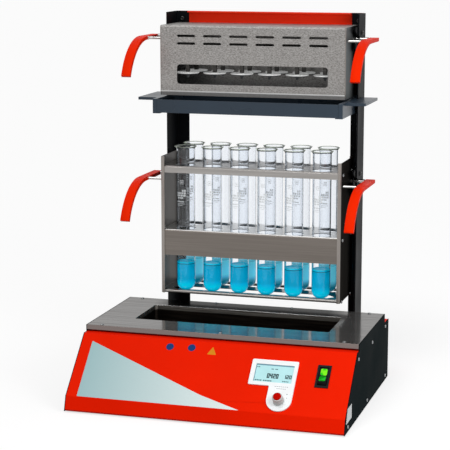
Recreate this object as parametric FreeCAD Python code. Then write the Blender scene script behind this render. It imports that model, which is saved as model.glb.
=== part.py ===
"""Infrared block digester for twelve 250 ml digestion tubes.

A sheet-metal base unit holds the heating well and the controls. A stand behind it carries,
from the bottom, the insert rack with its tubes, the drip tray and the exhaust hood. Rack and
hood hang by their carrying rods in slanted slots and are lifted off forwards and upwards.

Millimetres. X runs to the right, Y to the back and Z up. The origin lies on the bench under
the middle of the whole object. Each piece is written to parts/NAME.step.
"""

import FreeCAD
import Part
import math
import os

# ---------------------------------------------------------------- driving dimensions

# Sheets and fits
SHEET = 1.5
BEND_R = 1.5
PLATE = 3.0
SEAM = 0.1
RUN_GAP = 0.3
SHAFT_GAP = 0.05
HOLE_GAP = 0.2
CUT_OVER = 1.0
ROUND_SIDES = 16

# Tubes and their pattern
TUBE_COUNT = 6
TUBE_PITCH = 60.0
ROW_PITCH = 61.0
TUBE_R = 20.0
TUBE_WALL = 2.0
TUBE_LENGTH = 315.0
TUBE_FOOT_R = 11.0
TUBE_SIDES = 24
RIM_R = 24.0
RIM_FLARE = 12.0

# Levels of the stand, each stacked on the one below it
RACK_CLEARANCE = 25.0
RACK_HEIGHT = 298.0
TUBE_HEADROOM = 73.9
SHELF_HEIGHT = 31.0
HOOD_GAP = 4.0
HOOD_HEIGHT = 148.0
STAND_ABOVE_HOOD = 24.0

# Base unit
BASE_WIDTH = 572.0
FLOOR_GAP = 3.0
TOE_Y = -255.0
FOLD_Y = -246.0
FOLD_Z = 33.0
CONSOLE_TOP_Y = -141.0
LEDGE_Z = 137.0
LEDGE_LAP = 15.0
PLATE_FRONT_Y = -127.0
PLATE_REAR_Y = 138.0
PLATE_TOP_Z = 151.0
PLATE_FOLD = 10.0
REAR_LEDGE_Z = 130.5
BASE_REAR_Y = 182.0
BOTTOM_FLANGE = 20.0
PAN_FLANGE = 22.0
PLATE_SIDE_FOLD = 38.0
PLATE_FOLD_Y = (-90.0, 105.0)
CHEEK = 16.0
REAR_CHEEK_Y = 50.0
REAR_CHEEK_Z = 22.0
FOOT_R = 11.0
FOOT_INSET = 28.0
FOOT_Y = (-215.0, 150.0)
SIDE_SCREWS_HIGH = ((-134.0, 123.0), (2.0, 123.0), (143.0, 123.0))
SIDE_SCREWS_LOW = ((-228.0, 14.0), (-43.0, 14.0), (149.0, 14.0))
TOP_SCREW_INSET_X = 31.9
TOP_SCREW_INSET = 7.5
SCREW_FLATS = 7.0
SCREW_HEIGHT = 1.8
VENT_COUNT = 9
VENT_PITCH = 14.0
VENT_LENGTH = 60.0
VENT_WIDTH = 5.0
VENT_Z = 68.0
GLAND_X = -120.0
GLAND_Z = 60.0
GLAND_R = 9.5
GLAND_FLATS = 22.0
GLAND_NUT = 6.0
GLAND_DOME = 12.0
GLAND_TAPER = 4.0

# Heating well
WELL_MARGIN_X = 27.0
WELL_Y = 14.8
WELL_DEPTH_Y = 131.5
WELL_FLOOR_Z = 50.0
WELL_LIP = 12.0
WELL_CORNER_R = 6.0
HEATER_COUNT = 5
HEATER_PITCH = 26.0
HEATER_R = 6.0
HEATER_SIDES = 8
HEATER_RISE = 19.0
HOLDER_LENGTH = 16.0
HOLDER_HEIGHT = 28.5

# Controls on the slanted console, placed by the inset from its right end and the distance
# up from the fold
BEZEL_INSET = 111.0
BEZEL_WIDTH = 93.5
BEZEL_S = (59.0, 116.0)
BEZEL_TAB_WIDTH = 50.5
BEZEL_TAB_S = 4.5
BEZEL_THICK = 3.0
BEZEL_CORNER_R = 2.5
KNOB_S = 27.0
SCREEN_WIDTH = 77.0
SCREEN_INSET = 7.5
SCREEN_HEIGHT = 39.5
SCREEN_RISE = 7.5
SCREEN_RECESS = 1.2
BOARD_DEPTH = 14.0
BOARD_THICK = 1.6
BOARD_MARGIN = 4.0
POST = 2.5
ENCODER = 7.0
SHAFT_R = 3.0
BUSH_R = 4.5
KNOB_R = 11.0
KNOB_TOP_R = 10.0
KNOB_HEIGHT = 15.0
KNOB_PUSH = 1.0
KNOB_WALL = 2.0
KNOB_SIDES = 24
CAP_R = 8.0
CAP_HEIGHT = 2.5
CAP_TOP_R = 7.0
SWITCH_INSET = 45.5
SWITCH_WIDTH = 27.0
SWITCH_S = (64.0, 114.0)
SWITCH_BEZEL = 2.0
SWITCH_FRAME = 4.0
SWITCH_BODY = 22.0
SWITCH_LAP = 2.5
ROCKER_R = 20.0
ROCKER_DEPTH = 7.0
ROCKER_TILT = 12.0
ROCKER_LOW = 1.0
ROCKER_ROOM = 5.0

# Stand
COLUMN_GAP = 14.7
WEB_WIDTH = 30.0
COLUMN_FRONT_Y = 182.0
WEB_FRONT_Y = 249.0
COLUMN_BOTTOM_Z = 12.0
CROSSBAR_HEIGHT = 33.0
CROSSBAR_LIP = 12.0
CROSSBAR_INSET = 5.0
BRACKET_Z = (20.0, 115.0)
BRACKET_FOOT = 28.0
CORNER_ROOM = 2.0
BOLT_INSET = 20.0
BOLT_FLATS = 10.0
BOLT_HEIGHT = 3.0

# Hooks and the carrying rods of rack and hood
HOOK_Y = (162.0, 222.0)
HOOK_DROP = 24.0
HOOK_RISE = 26.0
HOOK_ANGLE = 25.0
HOOK_CORNER = 6.0
REAR_ROD_Y = 187.0
REAR_ROD_R = 5.0
FRONT_ROD_R = 3.0
RACK_ROD_DROP = 50.0
HOOD_ROD_DROP = 28.0

# Handle straps
STRAP_GAP = 31.0
STRAP_WIDTH = 20.0
STRAP_THICK = 8.0
STRAP_REAR_Y = 198.0
RACK_STRAP_BEND_Y = 93.0
HOOD_STRAP_BEND_Y = 117.0
STRAP_BEND_R = 120.0
STRAP_BEND_ANGLE = 67.5

# Insert rack
RACK_MARGIN = 17.7
RACK_Y = (94.7, 212.1)
RACK_FLANGE = 8.0
TOP_SHELF_DROP = 20.0
TOP_SHELF_LIP = 15.0
MIDDLE_SHELF_DROP = 158.0
MIDDLE_SHELF_LIP = 56.0
BOTTOM_SHELF_RISE = 8.0
BOTTOM_SHELF_LIP = 7.0
REAR_LIP = 7.0
TUBE_HOLE_GAP = 1.0
TUBE_HOLE_SIDES = 12
SEAT_SLOT_WIDTH = 30.0
RACK_FRONT_ROD_Y = 106.0
RACK_SCREW_INSET = 16.0

# Tray shelf and drip tray
SHELF_MARGIN = 6.8
ARM_FLANGE = 9.0
EAR_REACH = 41.9
EAR_Y = (94.0, 220.0)
EAR_LIP = 6.0
RUNNER_WIDTH = 16.0
TRAY_FRONT_Y = 66.0
TRAY_REAR_Y = 240.0
TRAY_TOP_DROP = 1.5
TRAY_RIM_DROP = 8.0

# Exhaust hood, its openings and fittings placed by the height above its lower edge
HOOD_MARGIN = 3.0
HOOD_Y = (107.0, 235.0)
HOOD_HEM_Y = 3.0
HOOD_HEM_Z = 9.5
HOOD_FRONT_ROD_Y = 118.0
WINDOW_WIDTH = 327.0
WINDOW_RISE = 24.5
WINDOW_HEIGHT = 41.5
WINDOW_R = 7.0
SLOT_LENGTH = 40.6
SLOT_WIDTH = 5.0
SLOT_DROPS = (38.0, 22.0)
CAP_PLATE_R = 24.5
CAP_PLATE_RISE = 43.0
CAP_PLATE_THICK = 5.0
MANIFOLD_DROP = 52.0
DUCT = 16.0
NECK = 8.0
NOZZLE_R = 7.0
NOZZLE_BORE_R = 5.0
NOZZLE_COLLAR = 19.0
COLLAR_THICK = 3.0
NOZZLE_REACH = 19.0

# ---------------------------------------------------------------- worked-out places

HALF_WIDTH = BASE_WIDTH / 2
INNER_HALF = HALF_WIDTH - SHEET
PAN_Z = FLOOR_GAP + SHEET
PLATE_UNDER_Z = PLATE_TOP_Z - SHEET
FOOT_X = HALF_WIDTH - FOOT_INSET
TOP_SCREW_PITCH = (HALF_WIDTH - TOP_SCREW_INSET_X) / 1.5
TUBE_FIELD = TUBE_COUNT * TUBE_PITCH / 2
WELL_X = TUBE_FIELD + WELL_MARGIN_X
WELL_FRONT_Y = WELL_Y - WELL_DEPTH_Y / 2
WELL_REAR_Y = WELL_Y + WELL_DEPTH_Y / 2
HEATER_Z = WELL_FLOOR_Z + HEATER_RISE
HOLDER_TOP_Z = WELL_FLOOR_Z + SHEET + HOLDER_HEIGHT
CONSOLE_ANGLE = math.atan2(LEDGE_Z - FOLD_Z, CONSOLE_TOP_Y - FOLD_Y)
CONSOLE_LENGTH = math.hypot(LEDGE_Z - FOLD_Z, CONSOLE_TOP_Y - FOLD_Y)
BEZEL_END = HALF_WIDTH - BEZEL_INSET
BEZEL_X = (BEZEL_END - BEZEL_WIDTH, BEZEL_END)
SCREEN_X = (BEZEL_END - SCREEN_INSET - SCREEN_WIDTH, BEZEL_END - SCREEN_INSET)
SCREEN_S = (BEZEL_S[0] + SCREEN_RISE, BEZEL_S[0] + SCREEN_RISE + SCREEN_HEIGHT)
KNOB_X = BEZEL_END - BEZEL_TAB_WIDTH / 2
SWITCH_END = HALF_WIDTH - SWITCH_INSET
SWITCH_X = (SWITCH_END - SWITCH_WIDTH, SWITCH_END)
RACK_X = TUBE_FIELD + RACK_MARGIN
HOOD_X = RACK_X + HOOD_MARGIN
SHELF_X = RACK_X + SHELF_MARGIN
EAR_X = SHELF_X + EAR_REACH
COLUMN_X = RACK_X + COLUMN_GAP
WEB_REAR_Y = WEB_FRONT_Y + PLATE
RACK_MID_Y = sum(RACK_Y) / 2
HOOD_MID_Y = sum(HOOD_Y) / 2
NOZZLE_END_Y = HOOD_Y[1] + NOZZLE_REACH
RACK_BOTTOM_Z = PLATE_TOP_Z + RACK_CLEARANCE
RACK_Z = (RACK_BOTTOM_Z, RACK_BOTTOM_Z + RACK_HEIGHT)
RACK_ROD_Z = RACK_Z[1] - RACK_ROD_DROP
TOP_SHELF_Z = RACK_Z[1] - TOP_SHELF_DROP
MIDDLE_SHELF_Z = RACK_Z[1] - MIDDLE_SHELF_DROP
BOTTOM_SHELF_Z = RACK_BOTTOM_Z + BOTTOM_SHELF_RISE
SEAT_DROP = SEAT_SLOT_WIDTH / 2 - TUBE_FOOT_R
TUBE_BOTTOM_Z = BOTTOM_SHELF_Z - SEAT_DROP + SEAM
SHELF_BOTTOM_Z = TUBE_BOTTOM_Z + TUBE_LENGTH + TUBE_HEADROOM
SHELF_TOP_Z = SHELF_BOTTOM_Z + SHELF_HEIGHT
TRAY_TOP_Z = SHELF_TOP_Z - TRAY_TOP_DROP
HOOD_BOTTOM_Z = SHELF_TOP_Z + HOOD_GAP
HOOD_Z = (HOOD_BOTTOM_Z, HOOD_BOTTOM_Z + HOOD_HEIGHT)
HOOD_ROD_Z = HOOD_Z[1] - HOOD_ROD_DROP
WINDOW_Z = (HOOD_BOTTOM_Z + WINDOW_RISE, HOOD_BOTTOM_Z + WINDOW_RISE + WINDOW_HEIGHT)
SLOT_Z = [HOOD_Z[1] - drop for drop in SLOT_DROPS]
CAP_PLATE_Z = HOOD_BOTTOM_Z + CAP_PLATE_RISE
MANIFOLD_Z = HOOD_Z[1] - MANIFOLD_DROP
STAND_TOP_Z = HOOD_Z[1] + STAND_ABOVE_HOOD
TUBE_X = [(k - (TUBE_COUNT - 1) / 2) * TUBE_PITCH for k in range(TUBE_COUNT)]
ROW_SHIFT = (-ROW_PITCH / 2, ROW_PITCH / 2)
X_AXIS = FreeCAD.Vector(1, 0, 0)
Y_AXIS = FreeCAD.Vector(0, 1, 0)
Z_AXIS = FreeCAD.Vector(0, 0, 1)
SIDES = (("left", -1), ("right", 1))


# ---------------------------------------------------------------- helpers


def box(x, y, z):
    """Block between the two limits of each axis."""
    low = FreeCAD.Vector(min(x), min(y), min(z))
    size = [max(limits) - min(limits) for limits in (x, y, z)]
    return Part.makeBox(size[0], size[1], size[2], low)


def rod(start, axis, radius, length):
    """Round bar from start along axis."""
    return Part.makeCylinder(radius, length, FreeCAD.Vector(*start), axis)


def grow(limits, amount):
    """A pair of limits moved apart by amount at each end."""
    return (limits[0] - amount, limits[1] + amount)


def fuse(shapes):
    """One solid from several that meet."""
    return shapes[0].multiFuse(shapes[1:]).removeSplitter()


def mirror(shape):
    """The same shape on the other side of the YZ plane."""
    return shape.mirror(FreeCAD.Vector(0, 0, 0), X_AXIS)


def on_side(shape, side):
    """A shape drawn on the right, moved to the left when side is -1."""
    return shape if side > 0 else mirror(shape)


def rounded_wire(points, radii, flat=False):
    """Closed wire through points, with an arc or a flat across each corner that has a radius."""
    edges = []
    ends = []
    count = len(points)
    for i, point in enumerate(points):
        before = (points[i - 1] - point).normalize()
        after = (points[(i + 1) % count] - point).normalize()
        half = before.getAngle(after) / 2
        if radii[i] <= 0:
            ends.append((point, point))
            continue
        reach = radii[i] / math.tan(half)
        middle = (before + after).normalize()
        centre = point + middle * (radii[i] / math.sin(half))
        start = point + before * reach
        end = point + after * reach
        if flat:
            edges.append(Part.LineSegment(start, end).toShape())
        else:
            edges.append(Part.Arc(start, centre - middle * radii[i], end).toShape())
        ends.append((start, end))
    for i in range(count):
        start = ends[i][1]
        end = ends[(i + 1) % count][0]
        if start.distanceToPoint(end) > 1e-6:
            edges.append(Part.LineSegment(start, end).toShape())
    return Part.Wire(Part.sortEdges(edges)[0])


def prism(points, radii, direction, flat=False):
    """Solid made by pushing a closed outline along direction."""
    return Part.Face(rounded_wire(points, radii, flat)).extrude(direction)


def offset_corner(before, point, after, distance):
    """The corner of a polyline moved to its left by distance, in 2D."""

    def unit(a, b):
        length = math.hypot(b[0] - a[0], b[1] - a[1])
        return ((b[0] - a[0]) / length, (b[1] - a[1]) / length)

    first = unit(before, point) if before else unit(point, after)
    second = unit(point, after) if after else first
    left = (-first[1] - second[1], first[0] + second[0])
    scale = distance * 2 / (left[0] ** 2 + left[1] ** 2)
    return (point[0] + left[0] * scale, point[1] + left[1] * scale)


def bent_sheet(path, to_space, direction, sheet=SHEET, bend=BEND_R):
    """Bent sheet whose outer face follows path and whose thickness lies to the path's left.

    Each bend is one flat facet across the corner, as a press brake leaves a tight bend.
    """
    count = len(path)
    inner = []
    for i, point in enumerate(path):
        before = path[i - 1] if i else None
        after = path[i + 1] if i < count - 1 else None
        inner.append(offset_corner(before, point, after, sheet))
    outer_radii = [0.0]
    inner_radii = [0.0]
    for i in range(1, count - 1):
        a, b, c = path[i - 1], path[i], path[i + 1]
        turn = (b[0] - a[0]) * (c[1] - b[1]) - (b[1] - a[1]) * (c[0] - b[0])
        outer_radii.append(bend + sheet if turn > 0 else bend)
        inner_radii.append(bend if turn > 0 else bend + sheet)
    outer_radii.append(0.0)
    inner_radii.append(0.0)
    points = [to_space(*p) for p in path + inner[::-1]]
    return prism(points, outer_radii + inner_radii[::-1], direction, flat=True)


def in_yz(x):
    """Places a (y, z) point at the given X."""
    return lambda y, z: FreeCAD.Vector(x, y, z)


def in_xz(y):
    """Places an (x, z) point at the given Y."""
    return lambda x, z: FreeCAD.Vector(x, y, z)


def in_xy(z):
    """Places an (x, y) point at the given Z."""
    return lambda x, y: FreeCAD.Vector(x, y, z)


def rectangle(centre, size, to_space):
    """The four corners of a rectangle in the plane that to_space gives."""
    reach, half = size[0] / 2, size[1] / 2
    corners = [(-reach, -half), (reach, -half), (reach, half), (-reach, half)]
    return [to_space(centre[0] + a, centre[1] + b) for a, b in corners]


def slot(centre, size, to_space, direction):
    """Cutter for a slot whose ends are nipped to half a hexagon."""
    points = rectangle(centre, size, to_space)
    return prism(points, [min(size) * 0.45] * 4, direction, flat=True)


def console(x, up, out):
    """Point at x, a distance up the slanted console and a height out of its face."""
    run = math.cos(CONSOLE_ANGLE)
    rise = math.sin(CONSOLE_ANGLE)
    return FreeCAD.Vector(x, FOLD_Y + up * run - out * rise, FOLD_Z + up * rise + out * run)


def console_out():
    """Unit vector out of the console's face."""
    return console(0, 0, 1) - console(0, 0, 0)


def console_block(x, up, out):
    """Block aligned with the console, between limits of x, up and out."""
    corners = [(x[0], up[0]), (x[1], up[0]), (x[1], up[1]), (x[0], up[1])]
    points = [console(a, b, out[0]) for a, b in corners]
    return prism(points, [0] * 4, console_out() * (out[1] - out[0]))


def console_disc(x, up, out, radius):
    """Disc standing on the console between two heights."""
    return Part.makeCylinder(radius, out[1] - out[0], console(x, up, out[0]), console_out())


def polygon(point, outward, radius, sides):
    """Corners of a regular polygon round point, square to outward."""
    across = X_AXIS if abs(outward.x) < 0.5 else Z_AXIS
    other = outward.cross(across)
    turns = [2 * math.pi * k / sides for k in range(sides)]
    place = FreeCAD.Vector(*point)
    return [place + across * (radius * math.cos(t)) + other * (radius * math.sin(t)) for t in turns]


def bar(point, outward, radius, length, sides):
    """Many-sided bar whose corners lie on radius."""
    return prism(polygon(point, outward, radius, sides), [0] * sides, outward * length)


def around(radius, sides):
    """Corner radius of a polygon whose flats clear a circle of the given radius."""
    return radius / math.cos(math.pi / sides)


def hexagon(point, outward, flats, height):
    """Hexagon head or nut that sits on point."""
    return bar(point, outward, around(flats / 2, 6), height, 6)


def turned(start, axis, profile, sides):
    """Many-sided turned solid: profile is (radius, distance along axis), flat at both ends."""
    place = FreeCAD.Vector(*start)
    rings = [polygon(place + axis * along, axis, radius, sides) for radius, along in profile]
    faces = [Part.Face(Part.makePolygon(ring + ring[:1])) for ring in (rings[0], rings[-1])]
    for low, high in zip(rings, rings[1:]):
        for k in range(sides):
            corners = [low[k - 1], low[k], high[k], high[k - 1], low[k - 1]]
            faces.append(Part.Face(Part.makePolygon(corners)))
    shell = Part.makeShell(faces)
    shell.sewShape()
    solid = Part.makeSolid(shell)
    if solid.Volume < 0:
        solid.reverse()
    return solid.removeSplitter()


# ---------------------------------------------------------------- base unit


def make_base_pan():
    floor = [(-INNER_HALF, PAN_Z + PAN_FLANGE), (-INNER_HALF, PAN_Z)]
    floor += [(INNER_HALF, PAN_Z), (INNER_HALF, PAN_Z + PAN_FLANGE)]
    front = FOLD_Y + SHEET + BEND_R
    rear = BASE_REAR_Y - SHEET - BEND_R
    return bent_sheet(floor, in_xz(front), Y_AXIS * (rear - front))


def make_front_panel():
    path = [(TOE_Y + BOTTOM_FLANGE, FLOOR_GAP), (TOE_Y, FLOOR_GAP), (FOLD_Y, FOLD_Z)]
    lap = PLATE_FRONT_Y + LEDGE_LAP
    path += [(CONSOLE_TOP_Y, LEDGE_Z), (lap, LEDGE_Z), (lap, PLATE_UNDER_Z)]
    width = INNER_HALF - SEAM
    panel = bent_sheet(path[::-1], in_yz(-width), X_AXIS * (2 * width))
    cheek_s = (CHEEK, CONSOLE_LENGTH - SHEET)
    cheek = console_block((width - SHEET, width), cheek_s, (-SHEET - CHEEK, -SHEET))
    panel = fuse([panel, cheek, mirror(cheek)])
    through = grow((-SHEET, 0), CUT_OVER)
    panel = panel.cut(console_block(grow(SCREEN_X, CUT_OVER), grow(SCREEN_S, CUT_OVER), through))
    panel = panel.cut(console_disc(KNOB_X, KNOB_S, through, BUSH_R + HOLE_GAP))
    return panel.cut(console_block(grow(SWITCH_X, -SWITCH_LAP), grow(SWITCH_S, -SWITCH_LAP), through))


def make_side_panel(side):
    outline = [(TOE_Y, FLOOR_GAP), (BASE_REAR_Y, FLOOR_GAP), (BASE_REAR_Y, REAR_LEDGE_Z)]
    outline += [(PLATE_REAR_Y, REAR_LEDGE_Z), (PLATE_REAR_Y, PLATE_TOP_Z), (PLATE_FRONT_Y, PLATE_TOP_Z)]
    outline += [(PLATE_FRONT_Y, LEDGE_Z), (CONSOLE_TOP_Y, LEDGE_Z), (FOLD_Y, FOLD_Z)]
    points = [FreeCAD.Vector(INNER_HALF, y, z) for y, z in outline]
    return on_side(prism(points, [0] * len(points), X_AXIS * SHEET), side)


def make_rear_panel():
    flange_y = PLATE_REAR_Y - LEDGE_LAP
    path = [(BASE_REAR_Y - BOTTOM_FLANGE, FLOOR_GAP), (BASE_REAR_Y, FLOOR_GAP)]
    path += [(BASE_REAR_Y, REAR_LEDGE_Z), (PLATE_REAR_Y, REAR_LEDGE_Z), (PLATE_REAR_Y, LEDGE_Z)]
    path += [(flange_y, LEDGE_Z), (flange_y, PLATE_UNDER_Z)]
    width = INNER_HALF - SEAM
    panel = bent_sheet(path, in_yz(-width), X_AXIS * (2 * width))
    under = REAR_LEDGE_Z - SHEET
    cheek_y = (BASE_REAR_Y - REAR_CHEEK_Y, BASE_REAR_Y - SHEET)
    cheek = box((width - SHEET, width), cheek_y, (under - REAR_CHEEK_Z, under))
    panel = fuse([panel, cheek, mirror(cheek)])
    through = Y_AXIS * (SHEET + 2 * CUT_OVER)
    plane = in_xz(BASE_REAR_Y - SHEET - CUT_OVER)
    for k in range(VENT_COUNT):
        x = (k - (VENT_COUNT - 1) / 2) * VENT_PITCH
        panel = panel.cut(slot((x, VENT_Z), (VENT_WIDTH, VENT_LENGTH), plane, through))
    return panel


def make_cable_gland():
    """Cable gland on the rear panel, closed by its blanking plug."""
    nut = hexagon((GLAND_X, BASE_REAR_Y, GLAND_Z), Y_AXIS, GLAND_FLATS, GLAND_NUT)
    foot = (GLAND_X, BASE_REAR_Y + GLAND_NUT, GLAND_Z)
    dome = [(GLAND_R, 0), (GLAND_R, GLAND_DOME - GLAND_TAPER), (GLAND_R - GLAND_TAPER, GLAND_DOME)]
    return fuse([nut, turned(foot, Y_AXIS, dome, ROUND_SIDES)])


def top_screw_points():
    """Places of the screws along the rear and front edge of the top plate."""
    rear = [(k * TOP_SCREW_PITCH, PLATE_REAR_Y - TOP_SCREW_INSET) for k in (-1.5, -0.5, 0.5, 1.5)]
    front = [(k * TOP_SCREW_PITCH, PLATE_FRONT_Y + TOP_SCREW_INSET) for k in (-1.5, 0, 1.5)]
    return rear + front


def make_top_plate():
    half = INNER_HALF - SEAM
    plate = box((-half, half), (PLATE_FRONT_Y, PLATE_REAR_Y), (PLATE_UNDER_Z, PLATE_TOP_Z))
    fold_z = (PLATE_TOP_Z - PLATE_FOLD, PLATE_TOP_Z)
    front = box((-half, half), (PLATE_FRONT_Y, PLATE_FRONT_Y + SHEET), fold_z)
    rear = box((-half, half), (PLATE_REAR_Y - SHEET, PLATE_REAR_Y), fold_z)
    fold = box((half - SHEET, half), PLATE_FOLD_Y, (PLATE_TOP_Z - PLATE_SIDE_FOLD, PLATE_TOP_Z))
    plate = fuse([plate, front, rear, fold, mirror(fold)])
    points = rectangle((0, WELL_Y), (2 * WELL_X, WELL_DEPTH_Y), in_xy(PLATE_UNDER_Z - CUT_OVER))
    return plate.cut(prism(points, [WELL_CORNER_R] * 4, Z_AXIS * (SHEET + 2 * CUT_OVER)))


def make_heating_well():
    """Open box under the top plate, with a lip that lies against it."""
    wall = SHEET
    x = WELL_X + wall
    y = (WELL_FRONT_Y - wall, WELL_REAR_Y + wall)
    top = PLATE_UNDER_Z
    body = box((-x, x), y, (WELL_FLOOR_Z, top))
    lip = box((-x - WELL_LIP, x + WELL_LIP), grow(y, WELL_LIP), (top - SHEET, top))
    points = rectangle((0, WELL_Y), (2 * WELL_X, WELL_DEPTH_Y), in_xy(WELL_FLOOR_Z + wall))
    hollow = prism(points, [WELL_CORNER_R] * 4, Z_AXIS * (top - WELL_FLOOR_Z))
    return fuse([body, lip]).cut(hollow)


def heater_rows():
    """Y of each infrared heater."""
    return [WELL_Y + (k - (HEATER_COUNT - 1) / 2) * HEATER_PITCH for k in range(HEATER_COUNT)]


def make_quartz_heaters():
    reach = WELL_X - HOLDER_LENGTH
    return [bar((-reach, y, HEATER_Z), X_AXIS, HEATER_R, 2 * reach, HEATER_SIDES) for y in heater_rows()]


def make_heater_holders():
    """Ceramic blocks on the floor of the well that the heaters' ends butt against."""
    y = grow((WELL_FRONT_Y, WELL_REAR_Y), -WELL_CORNER_R)
    block = box((WELL_X - HOLDER_LENGTH, WELL_X), y, (WELL_FLOOR_Z + SHEET, HOLDER_TOP_Z))
    return [block, mirror(block)]


def make_feet():
    feet = []
    for x in (-FOOT_X, FOOT_X):
        for y in FOOT_Y:
            feet.append(bar((x, y, 0), Z_AXIS, FOOT_R, PAN_Z, ROUND_SIDES))
    return feet


def make_casing_screws():
    """Screw heads of the side panels and of the top plate."""
    screws = []
    for y, z in SIDE_SCREWS_HIGH + SIDE_SCREWS_LOW:
        right = hexagon((HALF_WIDTH, y, z), X_AXIS, SCREW_FLATS, SCREW_HEIGHT)
        screws += [right, mirror(right)]
    for x, y in top_screw_points():
        screws.append(hexagon((x, y, PLATE_TOP_Z), Z_AXIS, SCREW_FLATS, SCREW_HEIGHT))
    return screws


# ---------------------------------------------------------------- controls


def make_display_bezel():
    """White surround: a field for the display and a rounded tab for the knob."""
    tab_left = BEZEL_X[1] - BEZEL_TAB_WIDTH
    outline = [(BEZEL_X[0], BEZEL_S[1]), (BEZEL_X[0], BEZEL_S[0]), (tab_left, BEZEL_S[0])]
    outline += [(tab_left, BEZEL_TAB_S), (BEZEL_X[1], BEZEL_TAB_S), (BEZEL_X[1], BEZEL_S[1])]
    round_r = BEZEL_TAB_WIDTH / 2 - SEAM
    corner = BEZEL_CORNER_R
    points = [console(x, s, 0) for x, s in outline]
    radii = [corner, corner, corner, round_r, round_r, corner]
    plate = prism(points, radii, console_out() * BEZEL_THICK)
    through = grow((0, BEZEL_THICK), CUT_OVER)
    window = console_block(SCREEN_X, SCREEN_S, through)
    bush_hole = console_disc(KNOB_X, KNOB_S, through, BUSH_R + HOLE_GAP)
    return plate.cut(window).cut(bush_hole)


def make_display_screen():
    """Display module that reaches from the window back to the control board."""
    face = BEZEL_THICK - SCREEN_RECESS
    back = -SHEET - BOARD_DEPTH
    return console_block(grow(SCREEN_X, -HOLE_GAP), grow(SCREEN_S, -HOLE_GAP), (back, face))


def make_control_board():
    """Circuit board behind the console, carried by four posts."""
    low = -SHEET - BOARD_DEPTH - BOARD_THICK
    limits_x = grow(BEZEL_X, BOARD_MARGIN)
    limits_s = (KNOB_S - KNOB_R, BEZEL_S[1] + BOARD_MARGIN)
    board = [console_block(limits_x, limits_s, (low, low + BOARD_THICK))]
    for x in grow(limits_x, -BOARD_MARGIN):
        for s in grow(limits_s, -BOARD_MARGIN):
            board.append(console_block(grow((x, x), POST), grow((s, s), POST), (low, -SHEET)))
    return fuse(board)


def make_encoder_bush():
    """Rotary encoder on the board with its bush through the console."""
    low = -SHEET - BOARD_DEPTH
    around_x = grow((KNOB_X, KNOB_X), ENCODER)
    around_s = grow((KNOB_S, KNOB_S), ENCODER)
    housing = console_block(around_x, around_s, (low, -SHEET))
    bush = console_disc(KNOB_X, KNOB_S, (low, BEZEL_THICK), BUSH_R)
    bore = console_disc(KNOB_X, KNOB_S, (low + SHEET, BEZEL_THICK + CUT_OVER), SHAFT_R + SHAFT_GAP)
    return fuse([housing, bush]).cut(bore)


def make_encoder_shaft():
    """Shaft that the knob turns on and pushes in."""
    low = KNOB_PUSH + RUN_GAP - BOARD_DEPTH
    return console_disc(KNOB_X, KNOB_S, (low, BEZEL_THICK + KNOB_HEIGHT - KNOB_WALL), SHAFT_R)


def make_knob_body():
    """Tapered knob with a blind bore for the shaft."""
    start = console(KNOB_X, KNOB_S, BEZEL_THICK + KNOB_PUSH + RUN_GAP)
    bore = around(SHAFT_R + SHAFT_GAP, KNOB_SIDES)
    end = KNOB_HEIGHT - KNOB_WALL - KNOB_PUSH
    profile = [(bore, end), (bore, 0), (KNOB_R, 0), (KNOB_TOP_R, KNOB_HEIGHT)]
    return turned(start, console_out(), profile, KNOB_SIDES)


def make_knob_cap():
    """Low tapered cap on top of the knob."""
    start = console(KNOB_X, KNOB_S, BEZEL_THICK + KNOB_PUSH + RUN_GAP + KNOB_HEIGHT)
    return turned(start, console_out(), [(CAP_R, 0), (CAP_TOP_R, CAP_HEIGHT)], KNOB_SIDES)


def rocker_centre():
    """Pivot of the mains rocker: X, place up the console, height out of it."""
    return (sum(SWITCH_X) / 2, sum(SWITCH_S) / 2, SWITCH_BEZEL - ROCKER_DEPTH)


def make_switch_frame():
    """Black frame with its body behind the console and a well for the rocker."""
    x_mid, s_mid, out = rocker_centre()
    flange = console_block(SWITCH_X, SWITCH_S, (0, SWITCH_BEZEL))
    inset = -SWITCH_LAP - HOLE_GAP
    body = console_block(grow(SWITCH_X, inset), grow(SWITCH_S, inset), (-SWITCH_BODY, 0))
    width = grow(SWITCH_X, -SWITCH_FRAME)
    radius = ROCKER_R + RUN_GAP
    well = Part.makeCylinder(radius, width[1] - width[0], console(width[0], s_mid, out), X_AXIS)
    mouth = console_block(width, grow((s_mid, s_mid), radius), (out, SWITCH_BEZEL + CUT_OVER))
    floor = console_block(width, SWITCH_S, (-SWITCH_BODY, out - ROCKER_DEPTH - ROCKER_ROOM))
    return fuse([flange, body]).cut(well.fuse(mouth).cut(floor))


def make_switch_rocker():
    """Rocker with two faces that meet in a shallow V, resting with its upper end in."""
    x_mid, s_mid, out = rocker_centre()
    width = grow(SWITCH_X, -SWITCH_FRAME - RUN_GAP)
    barrel = Part.makeCylinder(ROCKER_R, width[1] - width[0], console(width[0], s_mid, out), X_AXIS)
    rise = ROCKER_R * math.tan(math.radians(ROCKER_TILT))
    lift = ROCKER_DEPTH - ROCKER_LOW
    shape = [(-ROCKER_R, -ROCKER_DEPTH), (ROCKER_R, -ROCKER_DEPTH)]
    shape += [(ROCKER_R, lift + rise), (0, lift), (-ROCKER_R, lift + rise)]
    points = [console(width[0], s_mid + a, out + b) for a, b in shape]
    rocker = barrel.common(prism(points, [0] * 5, X_AXIS * (width[1] - width[0])))
    rocker.rotate(console(x_mid, s_mid, out), X_AXIS, -ROCKER_TILT)
    return rocker


# ---------------------------------------------------------------- stand


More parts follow.
